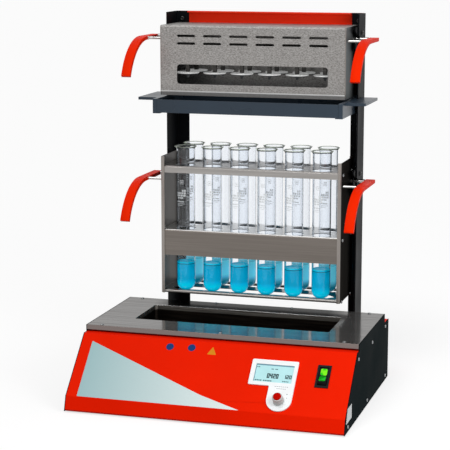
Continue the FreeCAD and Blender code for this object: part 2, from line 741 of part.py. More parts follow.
def rod_slot(height, x0, x1):
    """Slanted slot that the rear carrying rod drops into, open towards the front."""
    radius = REAR_ROD_R + RUN_GAP
    angle = math.radians(HOOK_ANGLE)
    reach = (REAR_ROD_Y - HOOK_Y[0] + radius) / math.cos(angle) + radius
    seat = rod((x0, REAR_ROD_Y, height), X_AXIS, radius, x1 - x0)
    points = []
    for along, across in ((0, radius), (0, -radius), (reach, -radius), (reach, radius)):
        y = REAR_ROD_Y - along * math.cos(angle) + across * math.sin(angle)
        z = height + along * math.sin(angle) + across * math.cos(angle)
        points.append(FreeCAD.Vector(x0, y, z))
    return fuse([seat, prism(points, [0] * 4, X_AXIS * (x1 - x0))])


def make_column(side):
    """Upright bent channel: web at the back, flange outside."""
    inner = COLUMN_X - WEB_WIDTH
    path = [(COLUMN_X, COLUMN_FRONT_Y), (COLUMN_X, WEB_REAR_Y), (inner, WEB_REAR_Y)]
    height = Z_AXIS * (STAND_TOP_Z - COLUMN_BOTTOM_Z)
    column = bent_sheet(path, in_xy(COLUMN_BOTTOM_Z), height, PLATE, PLATE / 2)
    for rod_z in (RACK_ROD_Z, HOOD_ROD_Z):
        column = column.cut(rod_slot(rod_z, *grow((COLUMN_X - PLATE, COLUMN_X), CUT_OVER)))
    return on_side(column, side)


def make_hook_plates():
    """Plates inside the column flanges, each with the slanted slot for a carrying rod."""
    plates = []
    inner = COLUMN_X - 2 * PLATE
    for height in (RACK_ROD_Z, HOOD_ROD_Z):
        middle = (sum(HOOK_Y) / 2, height + (HOOK_RISE - HOOK_DROP) / 2)
        points = rectangle(middle, (HOOK_Y[1] - HOOK_Y[0], HOOK_RISE + HOOK_DROP), in_yz(inner))
        plate = prism(points, [HOOK_CORNER] * 4, X_AXIS * PLATE, flat=True)
        plate = plate.cut(rod_slot(height, *grow((inner, inner + PLATE), CUT_OVER)))
        plates += [plate, mirror(plate)]
    return plates


def make_crossbar():
    """Red bar behind the webs with lips turned forward between them."""
    low = STAND_TOP_Z - CROSSBAR_HEIGHT
    end = COLUMN_X - CROSSBAR_INSET
    back = box((-end, end), (WEB_REAR_Y, WEB_REAR_Y + PLATE), (low, STAND_TOP_Z))
    reach = COLUMN_X - WEB_WIDTH - SEAM
    lip_y = (WEB_FRONT_Y - CROSSBAR_LIP, WEB_REAR_Y)
    lip = box((-reach, reach), lip_y, (STAND_TOP_Z - PLATE, STAND_TOP_Z))
    lower = lip.copy()
    lower.translate(Z_AXIS * (PLATE - CROSSBAR_HEIGHT))
    return fuse([back, lip, lower])


def make_stand_brackets():
    """Bent brackets that join the base's rear to the columns."""
    outer = COLUMN_X - PLATE
    foot = outer - BRACKET_FOOT
    path = [(foot, COLUMN_FRONT_Y), (outer, COLUMN_FRONT_Y), (outer, WEB_FRONT_Y - CORNER_ROOM)]
    height = BRACKET_Z[1] - BRACKET_Z[0]
    bracket = bent_sheet(path, in_xy(BRACKET_Z[0]), Z_AXIS * height, PLATE, PLATE / 2)
    return [bracket, mirror(bracket)]


def make_stand_bolts():
    """Bolt heads of the crossbar, tray shelf, hook plates and brackets."""
    web = COLUMN_X - WEB_WIDTH / 2
    foot = COLUMN_X - PLATE - BRACKET_FOOT / 2
    bar_z = STAND_TOP_Z - CROSSBAR_HEIGHT / 2
    shelf_z = (SHELF_TOP_Z + SHELF_BOTTOM_Z) / 2
    backward = [(web, WEB_REAR_Y, shelf_z)]
    backward += [(foot, COLUMN_FRONT_Y + PLATE, z) for z in grow(BRACKET_Z, -BOLT_INSET)]
    right = [hexagon((web, WEB_FRONT_Y, bar_z), Y_AXIS * -1, BOLT_FLATS, BOLT_HEIGHT)]
    right += [hexagon(place, Y_AXIS, BOLT_FLATS, BOLT_HEIGHT) for place in backward]
    for height in (RACK_ROD_Z, HOOD_ROD_Z):
        for z in (height - HOOK_DROP / 2, height + HOOK_RISE / 2):
            place = (COLUMN_X, HOOK_Y[1] - BOLT_FLATS, z)
            right.append(hexagon(place, X_AXIS, BOLT_FLATS, BOLT_HEIGHT))
    return right + [mirror(bolt) for bolt in right]


# ---------------------------------------------------------------- tray shelf and drip tray


def make_tray_shelf():
    """Two arms of channel section that the tray runs in, each with an ear, and a rear plate."""
    depth = (TRAY_FRONT_Y, WEB_FRONT_Y)
    height = (SHELF_BOTTOM_Z, SHELF_TOP_Z)
    flange_x = (SHELF_X - ARM_FLANGE, SHELF_X)
    wall = box((SHELF_X - SHEET, SHELF_X), depth, height)
    top = box(flange_x, depth, (SHELF_TOP_Z - SHEET, SHELF_TOP_Z))
    end = box(flange_x, (TRAY_FRONT_Y, TRAY_FRONT_Y + SHEET), height)
    runner_z = (SHELF_BOTTOM_Z, SHELF_BOTTOM_Z + SHEET)
    runner = box((SHELF_X - RUNNER_WIDTH, SHELF_X), depth, runner_z)
    lip_z = (SHELF_TOP_Z - EAR_LIP, SHELF_TOP_Z)
    ear = box((SHELF_X - SHEET, EAR_X), EAR_Y, (SHELF_TOP_Z - SHEET, SHELF_TOP_Z))
    outer_lip = box((EAR_X - SHEET, EAR_X), EAR_Y, lip_z)
    front_lip = box((SHELF_X - SHEET, EAR_X), (EAR_Y[0], EAR_Y[0] + SHEET), lip_z)
    notch_x = grow((COLUMN_X - PLATE, COLUMN_X), RUN_GAP)
    notch = box(notch_x, (COLUMN_FRONT_Y - RUN_GAP, WEB_FRONT_Y), (0, STAND_TOP_Z))
    right = fuse([wall, top, end, runner, ear, outer_lip, front_lip]).cut(notch)
    reach = COLUMN_X - PLATE - CORNER_ROOM
    rear = box((-reach, reach), (WEB_FRONT_Y - SHEET, WEB_FRONT_Y), height)
    return fuse([right, mirror(right), rear])


def make_drip_tray():
    """Flat pan on the runners between the arms, its front a little higher than its rim."""
    x = SHELF_X - ARM_FLANGE - RUN_GAP
    bottom = SHELF_BOTTOM_Z + SHEET + RUN_GAP
    floor = box((-x, x), (TRAY_FRONT_Y, TRAY_REAR_Y), (bottom, bottom + SHEET))
    front = box((-x, x), (TRAY_FRONT_Y, TRAY_FRONT_Y + SHEET), (bottom, TRAY_TOP_Z))
    low_rim = TRAY_TOP_Z - TRAY_RIM_DROP
    rear = box((-x, x), (TRAY_REAR_Y - SHEET, TRAY_REAR_Y), (bottom, low_rim))
    wall = box((x - SHEET, x), (TRAY_FRONT_Y, TRAY_REAR_Y), (bottom, low_rim))
    return fuse([floor, front, rear, wall, mirror(wall)])


# ---------------------------------------------------------------- carrying rods and handles


def make_rods(side_x, front_y, height):
    """Front and rear carrying rod on each side, between the side plate and the strap."""
    rear = rod((side_x, REAR_ROD_Y, height), X_AXIS, REAR_ROD_R, STRAP_GAP)
    front = bar((side_x, front_y, height), X_AXIS, FRONT_ROD_R, STRAP_GAP, ROUND_SIDES)
    return [rear, mirror(rear), front, mirror(front)]


def make_handle(side, side_x, bend_y, height):
    """Red strap: level at the rods, then bent forward and down in one wide arc."""
    inner = side_x + STRAP_GAP
    angle = math.radians(STRAP_BEND_ANGLE)
    half = STRAP_THICK / 2
    centre_z = height - STRAP_BEND_R

    def on_arc(radius, turn):
        y = bend_y - radius * math.sin(turn)
        return FreeCAD.Vector(inner, y, centre_z + radius * math.cos(turn))

    edges = []
    ends = []
    for radius in (STRAP_BEND_R + half, STRAP_BEND_R - half):
        start = on_arc(radius, 0)
        rear = FreeCAD.Vector(inner, STRAP_REAR_Y, start.z)
        tip = on_arc(radius, angle)
        edges.append(Part.LineSegment(rear, start).toShape())
        edges.append(Part.Arc(start, on_arc(radius, angle / 2), tip).toShape())
        ends.append((rear, tip))
    for first, second in zip(*ends):
        edges.append(Part.LineSegment(first, second).toShape())
    outline = Part.Wire(Part.sortEdges(edges)[0])
    return on_side(Part.Face(outline).extrude(X_AXIS * STRAP_WIDTH), side)


# ---------------------------------------------------------------- insert rack


def make_rack_side(side):
    """Upright channel: flat side with narrow flanges turned in at front and back."""
    inner = RACK_X - RACK_FLANGE
    path = [(inner, RACK_Y[0]), (RACK_X, RACK_Y[0]), (RACK_X, RACK_Y[1]), (inner, RACK_Y[1])]
    plate = bent_sheet(path, in_xy(RACK_Z[0]), Z_AXIS * (RACK_Z[1] - RACK_Z[0]))
    return on_side(plate, side)


def bent_shelf(top, lip):
    """Shelf between the side plates, its front lip turned down behind their flanges."""
    front = RACK_Y[0] + SHEET
    rear = RACK_Y[1] - SHEET
    path = [(rear, top - REAR_LIP), (rear, top), (front, top), (front, top - lip)]
    half = RACK_X - SHEET - BEND_R
    return bent_sheet(path, in_yz(-half), X_AXIS * (2 * half))


def make_guide_shelf(top, lip):
    """Shelf with a hole for each tube."""
    holes = []
    radius = around(TUBE_R + TUBE_HOLE_GAP, TUBE_HOLE_SIDES)
    for x in TUBE_X:
        for shift in ROW_SHIFT:
            place = (x, RACK_MID_Y + shift, top - SHEET - CUT_OVER)
            holes.append(bar(place, Z_AXIS, radius, SHEET + 2 * CUT_OVER, TUBE_HOLE_SIDES))
    return bent_shelf(top, lip).cut(Part.makeCompound(holes))


def make_seat_shelf():
    """Lowest shelf, with one long slot per row that the tapered bottoms sit in."""
    shelf = bent_shelf(BOTTOM_SHELF_Z, BOTTOM_SHELF_LIP)
    size = (TUBE_COUNT * TUBE_PITCH, SEAT_SLOT_WIDTH)
    plane = in_xy(BOTTOM_SHELF_Z - SHEET - CUT_OVER)
    for shift in ROW_SHIFT:
        shelf = shelf.cut(slot((0, RACK_MID_Y + shift), size, plane, Z_AXIS * (SHEET + 2 * CUT_OVER)))
    return shelf


def make_rack_screws():
    """Screw heads on the side plates, level with the shelves' folds."""
    right = []
    for top in (TOP_SHELF_Z, MIDDLE_SHELF_Z, BOTTOM_SHELF_Z):
        for y in grow(RACK_Y, -RACK_SCREW_INSET):
            right.append(hexagon((RACK_X, y, top - SCREW_FLATS), X_AXIS, SCREW_FLATS, SCREW_HEIGHT))
    return right + [mirror(screw) for screw in right]


def make_tube(x, shift):
    """Digestion tube: tapered bottom, straight wall and a flared rim."""
    inner = TUBE_R - TUBE_WALL
    knee = TUBE_R - TUBE_FOOT_R
    profile = [(TUBE_FOOT_R, 0), (TUBE_R, knee), (TUBE_R, TUBE_LENGTH - RIM_FLARE)]
    profile += [(RIM_R, TUBE_LENGTH), (inner, TUBE_LENGTH), (inner, knee)]
    return turned((x, RACK_MID_Y + shift, TUBE_BOTTOM_Z), Z_AXIS, profile, TUBE_SIDES)


# ---------------------------------------------------------------- exhaust hood


def hood_outline():
    """Outer (y, z) corners of the hood, from the front hem round to the rear hem."""
    front, rear = HOOD_Y
    low, high = HOOD_Z
    hem = low + HOOD_HEM_Z
    outline = [(front + HOOD_HEM_Y, low), (front, hem), (front, high)]
    return outline + [(rear, high), (rear, hem), (rear - HOOD_HEM_Y, low)]


def make_hood_cover():
    """Front, top and back of the hood in one bent sheet, with slots and a window."""
    half = HOOD_X - SHEET - SEAM
    cover = bent_sheet(hood_outline()[::-1], in_yz(-half), X_AXIS * (2 * half))
    plane = in_xz(HOOD_Y[0] - CUT_OVER)
    through = Y_AXIS * (SHEET + 2 * CUT_OVER)
    pitch = (WINDOW_WIDTH - SLOT_LENGTH) / (TUBE_COUNT - 1)
    window = (WINDOW_WIDTH, WINDOW_Z[1] - WINDOW_Z[0])
    cuts = [prism(rectangle((0, sum(WINDOW_Z) / 2), window, plane), [WINDOW_R] * 4, through)]
    for k in range(TUBE_COUNT):
        for z in SLOT_Z:
            x = (k - (TUBE_COUNT - 1) / 2) * pitch
            cuts.append(slot((x, z), (SLOT_LENGTH, SLOT_WIDTH), plane, through))
    return cover.cut(Part.makeCompound(cuts))


def make_hood_side(side):
    """Flat side of the hood."""
    points = [FreeCAD.Vector(HOOD_X - SHEET, y, z) for y, z in hood_outline()]
    corner = BEND_R + SHEET
    return on_side(prism(points, [0, 0, corner, corner, 0, 0], X_AXIS * SHEET, flat=True), side)


def make_exhaust_manifold():
    """Square duct over each row with a neck to each cap, joined to a cross duct to the back."""
    reach = TUBE_X[-1] + DUCT / 2
    level = grow((MANIFOLD_Z, MANIFOLD_Z), DUCT / 2)
    drop = (CAP_PLATE_Z + CAP_PLATE_THICK, MANIFOLD_Z)
    parts = []
    for shift in ROW_SHIFT:
        y = HOOD_MID_Y + shift
        parts.append(box((-reach, reach), grow((y, y), DUCT / 2), level))
        for x in TUBE_X:
            parts.append(box(grow((x, x), NECK / 2), grow((y, y), NECK / 2), drop))
    cross = (HOOD_MID_Y - ROW_PITCH / 2, HOOD_Y[1] - SHEET)
    parts.append(box(grow((0, 0), DUCT / 2), cross, level))
    return fuse(parts)


def make_suction_caps():
    """Caps that close the tubes."""
    caps = []
    for x in TUBE_X:
        for shift in ROW_SHIFT:
            place = (x, HOOD_MID_Y + shift, CAP_PLATE_Z)
            caps.append(bar(place, Z_AXIS, CAP_PLATE_R, CAP_PLATE_THICK, ROUND_SIDES))
    return caps


def make_hose_connector():
    """Hose nozzle on the hood's back, with a collar against the sheet."""
    place = (0, HOOD_Y[1], MANIFOLD_Z)
    length = NOZZLE_END_Y - HOOD_Y[1]
    collar = hexagon(place, Y_AXIS, NOZZLE_COLLAR, COLLAR_THICK)
    bore = rod(place, Y_AXIS, NOZZLE_BORE_R, length)
    return fuse([rod(place, Y_AXIS, NOZZLE_R, length), collar]).cut(bore)


# ---------------------------------------------------------------- all pieces


def all_pieces():
    """Every piece by name: one solid, or a list of equal solids."""
    pieces = {
        "base_pan": make_base_pan(),
        "front_panel": make_front_panel(),
        "rear_panel": make_rear_panel(),
        "top_plate": make_top_plate(),
        "heating_well": make_heating_well(),
        "quartz_heaters": make_quartz_heaters(),
        "heater_holders": make_heater_holders(),
        "feet": make_feet(),
        "casing_screws": make_casing_screws(),
        "cable_gland": make_cable_gland(),
        "display_bezel": make_display_bezel(),
        "display_screen": make_display_screen(),
        "control_board": make_control_board(),
        "encoder_bush": make_encoder_bush(),
        "encoder_shaft": make_encoder_shaft(),
        "knob_body": make_knob_body(),
        "knob_cap": make_knob_cap(),
        "switch_frame": make_switch_frame(),
        "switch_rocker": make_switch_rocker(),
        "crossbar": make_crossbar(),
        "hook_plates": make_hook_plates(),
        "stand_brackets": make_stand_brackets(),
        "stand_bolts": make_stand_bolts(),
        "tray_shelf": make_tray_shelf(),
        "drip_tray": make_drip_tray(),
        "hood_cover": make_hood_cover(),
        "hood_rods": make_rods(HOOD_X, HOOD_FRONT_ROD_Y, HOOD_ROD_Z),
        "exhaust_manifold": make_exhaust_manifold(),
        "suction_caps": make_suction_caps(),
        "hose_connector": make_hose_connector(),
        "rack_top_shelf": make_guide_shelf(TOP_SHELF_Z, TOP_SHELF_LIP),
        "rack_middle_shelf": make_guide_shelf(MIDDLE_SHELF_Z, MIDDLE_SHELF_LIP),
        "rack_bottom_shelf": make_seat_shelf(),
        "rack_rods": make_rods(RACK_X, RACK_FRONT_ROD_Y, RACK_ROD_Z),
        "rack_screws": make_rack_screws(),
    }
    for name, side in SIDES:
        pieces["side_panel_" + name] = make_side_panel(side)
        pieces["column_" + name] = make_column(side)
        pieces["hood_side_" + name] = make_hood_side(side)
        pieces["hood_handle_" + name] = make_handle(side, HOOD_X, HOOD_STRAP_BEND_Y, HOOD_ROD_Z)
        pieces["rack_side_" + name] = make_rack_side(side)
        pieces["rack_handle_" + name] = make_handle(side, RACK_X, RACK_STRAP_BEND_Y, RACK_ROD_Z)
    for row, shift in zip(("front", "back"), ROW_SHIFT):
        for k, x in enumerate(TUBE_X):
            pieces["tube_" + row + "_" + str(k + 1)] = make_tube(x, shift)
    return pieces


def write_pieces():
    """Writes each piece to its own file."""
    os.makedirs("parts", exist_ok=True)
    for name, piece in all_pieces().items():
        shape = Part.makeCompound(piece) if isinstance(piece, list) else piece
        shape.exportStep(os.path.join("parts", name + ".step"))


write_pieces()
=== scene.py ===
"""Looks of the block digester: materials, glass tubes with their samples, small fittings, light, camera.

Metres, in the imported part's own frame: X to the right, Y to the back, Z up.
"""

import math

import bmesh
import bpy
from mathutils import Matrix, Vector


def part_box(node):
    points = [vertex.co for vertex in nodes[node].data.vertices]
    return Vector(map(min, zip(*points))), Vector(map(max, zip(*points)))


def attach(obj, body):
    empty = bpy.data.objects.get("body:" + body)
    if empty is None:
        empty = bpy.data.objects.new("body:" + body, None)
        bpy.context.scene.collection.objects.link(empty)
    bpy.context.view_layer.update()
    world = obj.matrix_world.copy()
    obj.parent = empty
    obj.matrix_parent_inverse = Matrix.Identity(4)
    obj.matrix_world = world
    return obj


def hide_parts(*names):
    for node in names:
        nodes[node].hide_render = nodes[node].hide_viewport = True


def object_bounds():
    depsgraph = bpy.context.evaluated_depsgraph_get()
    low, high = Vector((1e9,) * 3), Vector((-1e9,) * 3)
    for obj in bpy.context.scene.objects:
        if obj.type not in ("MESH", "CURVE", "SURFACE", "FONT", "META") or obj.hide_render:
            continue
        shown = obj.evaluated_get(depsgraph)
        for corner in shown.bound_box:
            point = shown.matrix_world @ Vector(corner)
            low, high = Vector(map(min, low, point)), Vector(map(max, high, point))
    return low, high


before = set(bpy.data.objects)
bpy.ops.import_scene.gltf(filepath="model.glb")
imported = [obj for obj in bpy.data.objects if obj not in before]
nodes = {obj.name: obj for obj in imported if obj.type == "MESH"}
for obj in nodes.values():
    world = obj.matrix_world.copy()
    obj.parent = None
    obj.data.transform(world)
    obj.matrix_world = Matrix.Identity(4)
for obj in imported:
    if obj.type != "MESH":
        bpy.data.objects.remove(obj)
cad_low, cad_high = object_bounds()

# ---------------------------------------------------------------- sizes

TAU = 2 * math.pi
MM = 0.001
X_AXIS = Vector((1, 0, 0))
Y_AXIS = Vector((0, 1, 0))
Z_AXIS = Vector((0, 0, 1))

# Distance at which split corners are taken as one, and the radius below which a turned form closes
WELD = 0.000005
CLOSED_R = 1e-7

# Rounded edges of the CAD nodes
BEVEL_SEGMENTS = 2
BEVEL_ANGLE = math.radians(35)

# Sides of turned forms, and steps down the round bottom of a tube
TURNED_STEPS = 48
BOWL_STEPS = 12
CAP_STEPS = 40
SCREW_STEPS = 24

# Console: its lower and upper edge as (Y, Z)
FOLD = (-0.246, 0.033)
CONSOLE_TOP = (-0.141, 0.137)
CONSOLE_ANGLE = math.atan2(CONSOLE_TOP[1] - FOLD[1], CONSOLE_TOP[0] - FOLD[0])

# Knob and switch: places on the console as (X, distance up the slope)
KNOB_PLACE = (0.14975, 0.027)
SWITCH_PLACE = (0.227, 0.089)

# Heights above the console: screen, bezel, foot of the knob; and the knob's own height
SCREEN_FACE = 0.0018
BEZEL_FACE = 0.0030
KNOB_SEAT = 0.0043
KNOB_HEIGHT = 0.0150

# Rocker: its axis and the middle of its face above the console, and the lenses on its two slopes
ROCKER_TILT = math.radians(12)
ROCKER_AXIS = -0.005
ROCKER_MIDDLE = 0.006
LENS_HALF_WIDTH = 0.0064
LENS_REACH = (0.0012, 0.0158)
LENS_THICK = 0.0005
LENS_ROUNDING = 0.003

# Films and bars of print
FILM_THICK = 0.00015
WEDGE_THICK = 0.00012
SIDE_PLATE_THICK = 0.0002
BAR_THICK = 0.00012

# Tubes
TUBE_R = 0.020
TUBE_WALL = 0.0016
RIM_R = 0.024
RIM_FLARE = 0.0062
RIM_HEIGHT = 0.0016
BOTTOM_POWER = 2.6
SAMPLE_OVERLAP = 0.0002
LIQUID_TOP_Z = 0.2425
LIQUID_FOOT_Z = 0.203
MARK_Z = 0.392
MARK_LIFT = 0.00008
MARK_TURN = math.radians(-8)
MARK_SWING = 0.10
MARK_COLUMNS = 4

# Heads of the crossbar's bolts: how far their upper side lies below the part's top, give or take
CROSSBAR_BOLT_DROP = 0.0115
CROSSBAR_BOLT_RANGE = 0.002

# Camera: its place in metres, azimuth and drop in degrees, and focal length in millimetres
CAMERA_PLACE = (0.8801, -3.0564, 0.9304)
CAMERA_AZIMUTH = 16.51
CAMERA_DROP = 10.32
CAMERA_LENS = 125.57

# Floor: its radius, its grey, and the glow that only the eye, gloss and glass see
FLOOR_R = 40.0
FLOOR_GREY = 0.36
FLOOR_SEEN = 0.70

# Surroundings: their strength for light that diffuses, and for the eye, gloss and glass
WORLD_LIGHT = 0.50
WORLD_SEEN = 1.0

# ---------------------------------------------------------------- zones of colour

# Bend above the hood's hem
HOOD_FOLD_Z = 0.6135

# Each pair is where a change of colour starts and ends. Those that end in FADE are measured from an
# edge or a level of the part, which past() adds to them. Those that end in an axis are places, and
# the dark patch's X range counts to either side of the middle.
SIDE_EDGE_FADE = (0.0018, 0.0024)
PLATE_FOLD_FADE = (0.0006, 0.0014)
HEAT_PATCH_X = (0.17, 0.215)
HEAT_PATCH_Y = (0.076, 0.092)
HEM_LINE_FADE = (-0.0020, -0.0016)
HOOD_SHEET_FADE = (0.0006, 0.0010)
CAP_RIM_FADE = (0.0019, 0.0026)
SHELF_LIP_FADE = (0.0012, 0.0020)
SHELF_UNDER_FADE = (0.0012, 0.0022)
WELL_RIM_Z = (0.1405, 0.1420)
MINT_FILM_X = (-0.26, 0.07)
FOOT_FADE = (-0.010, 0.004)
DARK_LINE_FADE = (-0.0042, -0.0034)
SURFACE_FADE = (-0.0020, -0.0014)

# Depth of the brushing, and detail and roughness of the noise that draws it
BRUSH_DEPTH = 0.00006
BRUSH_GRAIN = (4.0, 0.65)

# Share of a noise's range that a blend goes through
NOISE_MIDDLE = (0.3, 0.7)

# ---------------------------------------------------------------- material helpers


def past(level, span):
    """The range of span, measured from level."""
    return level + span[0], level + span[1]


def even(value):
    """One value for all three axes of a noise, or for all three parts of a grey."""
    return (value, value, value)


def times(color, factor):
    return tuple(part * factor for part in color)


def shader_of(material):
    return material.node_tree.nodes["Principled BSDF"]


def make_material(name, color, roughness, metallic=0.0, **sockets):
    """Principled material. Other sockets are given by name, with underscores for spaces."""
    made = bpy.data.materials.new(name)
    made.use_nodes = True
    shader = shader_of(made)
    shader.inputs["Base Color"].default_value = (*color, 1)
    shader.inputs["Roughness"].default_value = roughness
    shader.inputs["Metallic"].default_value = metallic
    for socket, value in sockets.items():
        shader.inputs[socket.replace("_", " ")].default_value = value
    made.diffuse_color = (*color, 1)
    return made


def noise(material, stretch, detail=3.0, rough=0.55):
    """Noise in the part's frame: stretch is the number of cells per metre along X, Y and Z."""
    tree = material.node_tree
    coordinates = tree.nodes.new("ShaderNodeTexCoord")
    mapping = tree.nodes.new("ShaderNodeMapping")
    mapping.inputs["Scale"].default_value = stretch
    cells = tree.nodes.new("ShaderNodeTexNoise")
    cells.inputs["Scale"].default_value = 1.0
    cells.inputs["Detail"].default_value = detail
    cells.inputs["Roughness"].default_value = rough
    tree.links.new(coordinates.outputs["Object"], mapping.inputs["Vector"])
    tree.links.new(mapping.outputs["Vector"], cells.inputs["Vector"])
    return cells.outputs["Fac"]


def along(material, axis):
    """The part's own coordinate along an axis, in metres."""
    tree = material.node_tree
    coordinates = tree.nodes.new("ShaderNodeTexCoord")
    split = tree.nodes.new("ShaderNodeSeparateXYZ")
    tree.links.new(coordinates.outputs["Object"], split.inputs["Vector"])
    return split.outputs[axis]


def edge_on(material):
    """0 where glass faces the eye, 1 where it is seen edge-on."""
    return material.node_tree.nodes.new("ShaderNodeLayerWeight").outputs["Facing"]


def between(material, value, low, high, edges=NOISE_MIDDLE):
    """Value moved from the range of edges to the range from low to high."""
    tree = material.node_tree
    moved = tree.nodes.new("ShaderNodeMapRange")
    moved.inputs["From Min"].default_value = edges[0]
    moved.inputs["From Max"].default_value = edges[1]
    moved.inputs["To Min"].default_value = low
    moved.inputs["To Max"].default_value = high
    tree.links.new(value, moved.inputs["Value"])
    return moved.outputs["Result"]


def blend(material, value, first, second, edges=NOISE_MIDDLE):
    """Colour from first to second as value crosses the range of edges. Either may be a socket."""
    tree = material.node_tree
    mix = tree.nodes.new("ShaderNodeMix")
    mix.data_type = "RGBA"
    ends = [socket for socket in mix.inputs if socket.type == "RGBA"]
    for socket, color in zip(ends, (first, second)):
        if isinstance(color, tuple):
            socket.default_value = (*color, 1)
        else:
            tree.links.new(color, socket)
    tree.links.new(between(material, value, 0.0, 1.0, edges), mix.inputs["Factor"])
    return [socket for socket in mix.outputs if socket.type == "RGBA"][0]


def feed(material, socket, value):
    material.node_tree.links.new(value, shader_of(material).inputs[socket])


def set_color(material, color):
    feed(material, "Base Color", color)


def vary_roughness(material, value, low, high):
    feed(material, "Roughness", between(material, value, low, high))


def add_bump(material, value, strength, distance=BRUSH_DEPTH):
    tree = material.node_tree
    bump = tree.nodes.new("ShaderNodeBump")
    bump.inputs["Strength"].default_value = strength
    bump.inputs["Distance"].default_value = distance
    tree.links.new(value, bump.inputs["Height"])
    feed(material, "Normal", bump.outputs["Normal"])


def powder_coat(name, color, roughness, specular, lighter=1.5):
    """Paint with the fine pimpled skin of powder coating."""
    made = make_material(name, color, roughness, Specular_IOR_Level=specular)
    patches = noise(made, even(9))
    set_color(made, blend(made, patches, color, times(color, lighter)))
    vary_roughness(made, patches, roughness * 0.88, roughness * 1.12)
    add_bump(made, noise(made, even(850), detail=2.0), strength=0.35, distance=0.00012)
    return made


def enamel(name, color, roughness, specular):
    """Red enamel with a slight orange peel."""
    made = make_material(name, color, roughness, Specular_IOR_Level=specular,
                         Specular_Tint=(1.0, 0.35, 0.12, 1))
    set_color(made, blend(made, noise(made, even(7)), color, times(color, 0.92)))
    vary_roughness(made, noise(made, even(60)), roughness * 0.85, roughness * 1.2)
    add_bump(made, noise(made, even(260), detail=1.0), strength=0.12, distance=0.0001)
    return made


def brushed_metal(name, dark, light, roughness, stretch, bump=0.25, metallic=1.0):
    """Sheet metal whose grain follows stretch, with wide dull and bright streaks in it."""
    made = make_material(name, light, roughness[0], metallic)
    grain = noise(made, stretch, *BRUSH_GRAIN)
    streaks = noise(made, times(stretch, 0.15), detail=2.0)
    fine = blend(made, grain, dark, light)
    set_color(made, blend(made, streaks, fine, times(light, 0.9), edges=(0.45, 1.3)))
    vary_roughness(made, noise(made, times(stretch, 0.6)), *roughness)
    add_bump(made, grain, bump)
    return made


def plastic(name, color, roughness, grain=500, **sockets):
    """Moulded plastic with a faint spark-eroded skin."""
    made = make_material(name, color, roughness, **sockets)
    set_color(made, blend(made, noise(made, even(25)), color, times(color, 0.9)))
    add_bump(made, noise(made, even(grain), detail=2.0), strength=0.12, distance=0.00008)
    return made


# ---------------------------------------------------------------- materials

BLACK = powder_coat("black_coat", (0.0028, 0.0062, 0.0070), 0.60, 0.006)
COLUMN_BLACK = powder_coat("column_coat", (0.0035, 0.0040, 0.0048), 0.50, 0.05)
SLATE = powder_coat("slate_coat", (0.026, 0.041, 0.060), 0.30, 0.30, lighter=1.2)
RED = enamel("red_enamel", (0.86, 0.0130, 0.0006), 0.42, 0.06)
# The straps and the crossbar are the console's red painted lighter, for the light they catch.
STRAP_RED = enamel("strap_enamel_lit", (0.90, 0.0220, 0.0012), 0.42, 0.035)
BAR_RED = enamel("crossbar_enamel_lit", (0.92, 0.042, 0.012), 0.38, 0.10)
SHELF_STEEL = brushed_metal("shelf_steel", (0.30, 0.285, 0.27), (0.42, 0.40, 0.385),
                            roughness=(0.26, 0.38), stretch=(6, 420, 420))
DUCT_STEEL = brushed_metal("duct_steel", (0.04, 0.038, 0.036), (0.09, 0.086, 0.082),
                           roughness=(0.30, 0.45), stretch=(8, 300, 300))
POLISHED = brushed_metal("polished_steel", (0.34, 0.33, 0.32), (0.50, 0.49, 0.48),
                         roughness=(0.10, 0.20), stretch=(300, 12, 12), bump=0.05)
SCREW_STEEL = brushed_metal("screw_steel", (0.22, 0.23, 0.235), (0.36, 0.37, 0.375),
                            roughness=(0.22, 0.36), stretch=even(300), bump=0.1)
BOLT_STEEL = brushed_metal("bolt_steel", (0.03, 0.03, 0.03), (0.07, 0.07, 0.07),
                           roughness=(0.30, 0.42), stretch=even(300), bump=0.1)
RUBBER = plastic("foot_rubber", (0.012, 0.012, 0.012), 0.75, grain=900)
BLACK_PLASTIC = plastic("black_plastic", (0.004, 0.006, 0.007), 0.42, Specular_IOR_Level=0.10)
WHITE_PLASTIC = plastic("white_bezel", (0.90, 0.93, 0.94), 0.35, Specular_IOR_Level=0.3)
KNOB_PLASTIC = plastic("knob_plastic", (0.55, 0.57, 0.56), 0.32)
CAP_RED = plastic("cap_red", (0.50, 0.003, 0.001), 0.50, Specular_IOR_Level=0.02,
                  Specular_Tint=(1.0, 0.2, 0.1, 1))
SCREEN = plastic("screen_glass", (0.50, 0.84, 0.87), 0.16, grain=900, Specular_IOR_Level=0.3)
SEGMENT = plastic("screen_segments", (0.008, 0.025, 0.032), 0.45, Specular_IOR_Level=0.05)
FAINT = plastic("screen_small_figures", (0.06, 0.14, 0.16), 0.45, Specular_IOR_Level=0.1)
SCREEN_EDGE = plastic("screen_edge", (0.10, 0.27, 0.36), 0.35)
PRINTED = plastic("grey_print", (0.30, 0.33, 0.36), 0.5)
BOARD = plastic("circuit_board", (0.02, 0.12, 0.05), 0.45, grain=300)
CERAMIC = plastic("heater_ceramic", (0.62, 0.58, 0.50), 0.65, grain=400)
QUARTZ = plastic("heater_quartz", (0.34, 0.32, 0.30), 0.22, grain=120, Coat_Weight=0.5)
BLUE_FILM = plastic("blue_film", (0.003, 0.040, 0.18), 0.40, Specular_IOR_Level=0.1)
YELLOW_FILM = plastic("yellow_film", (0.72, 0.25, 0.004), 0.40, Specular_IOR_Level=0.1)
WHITE_FILM = plastic("white_film", (0.74, 0.76, 0.77), 0.40)


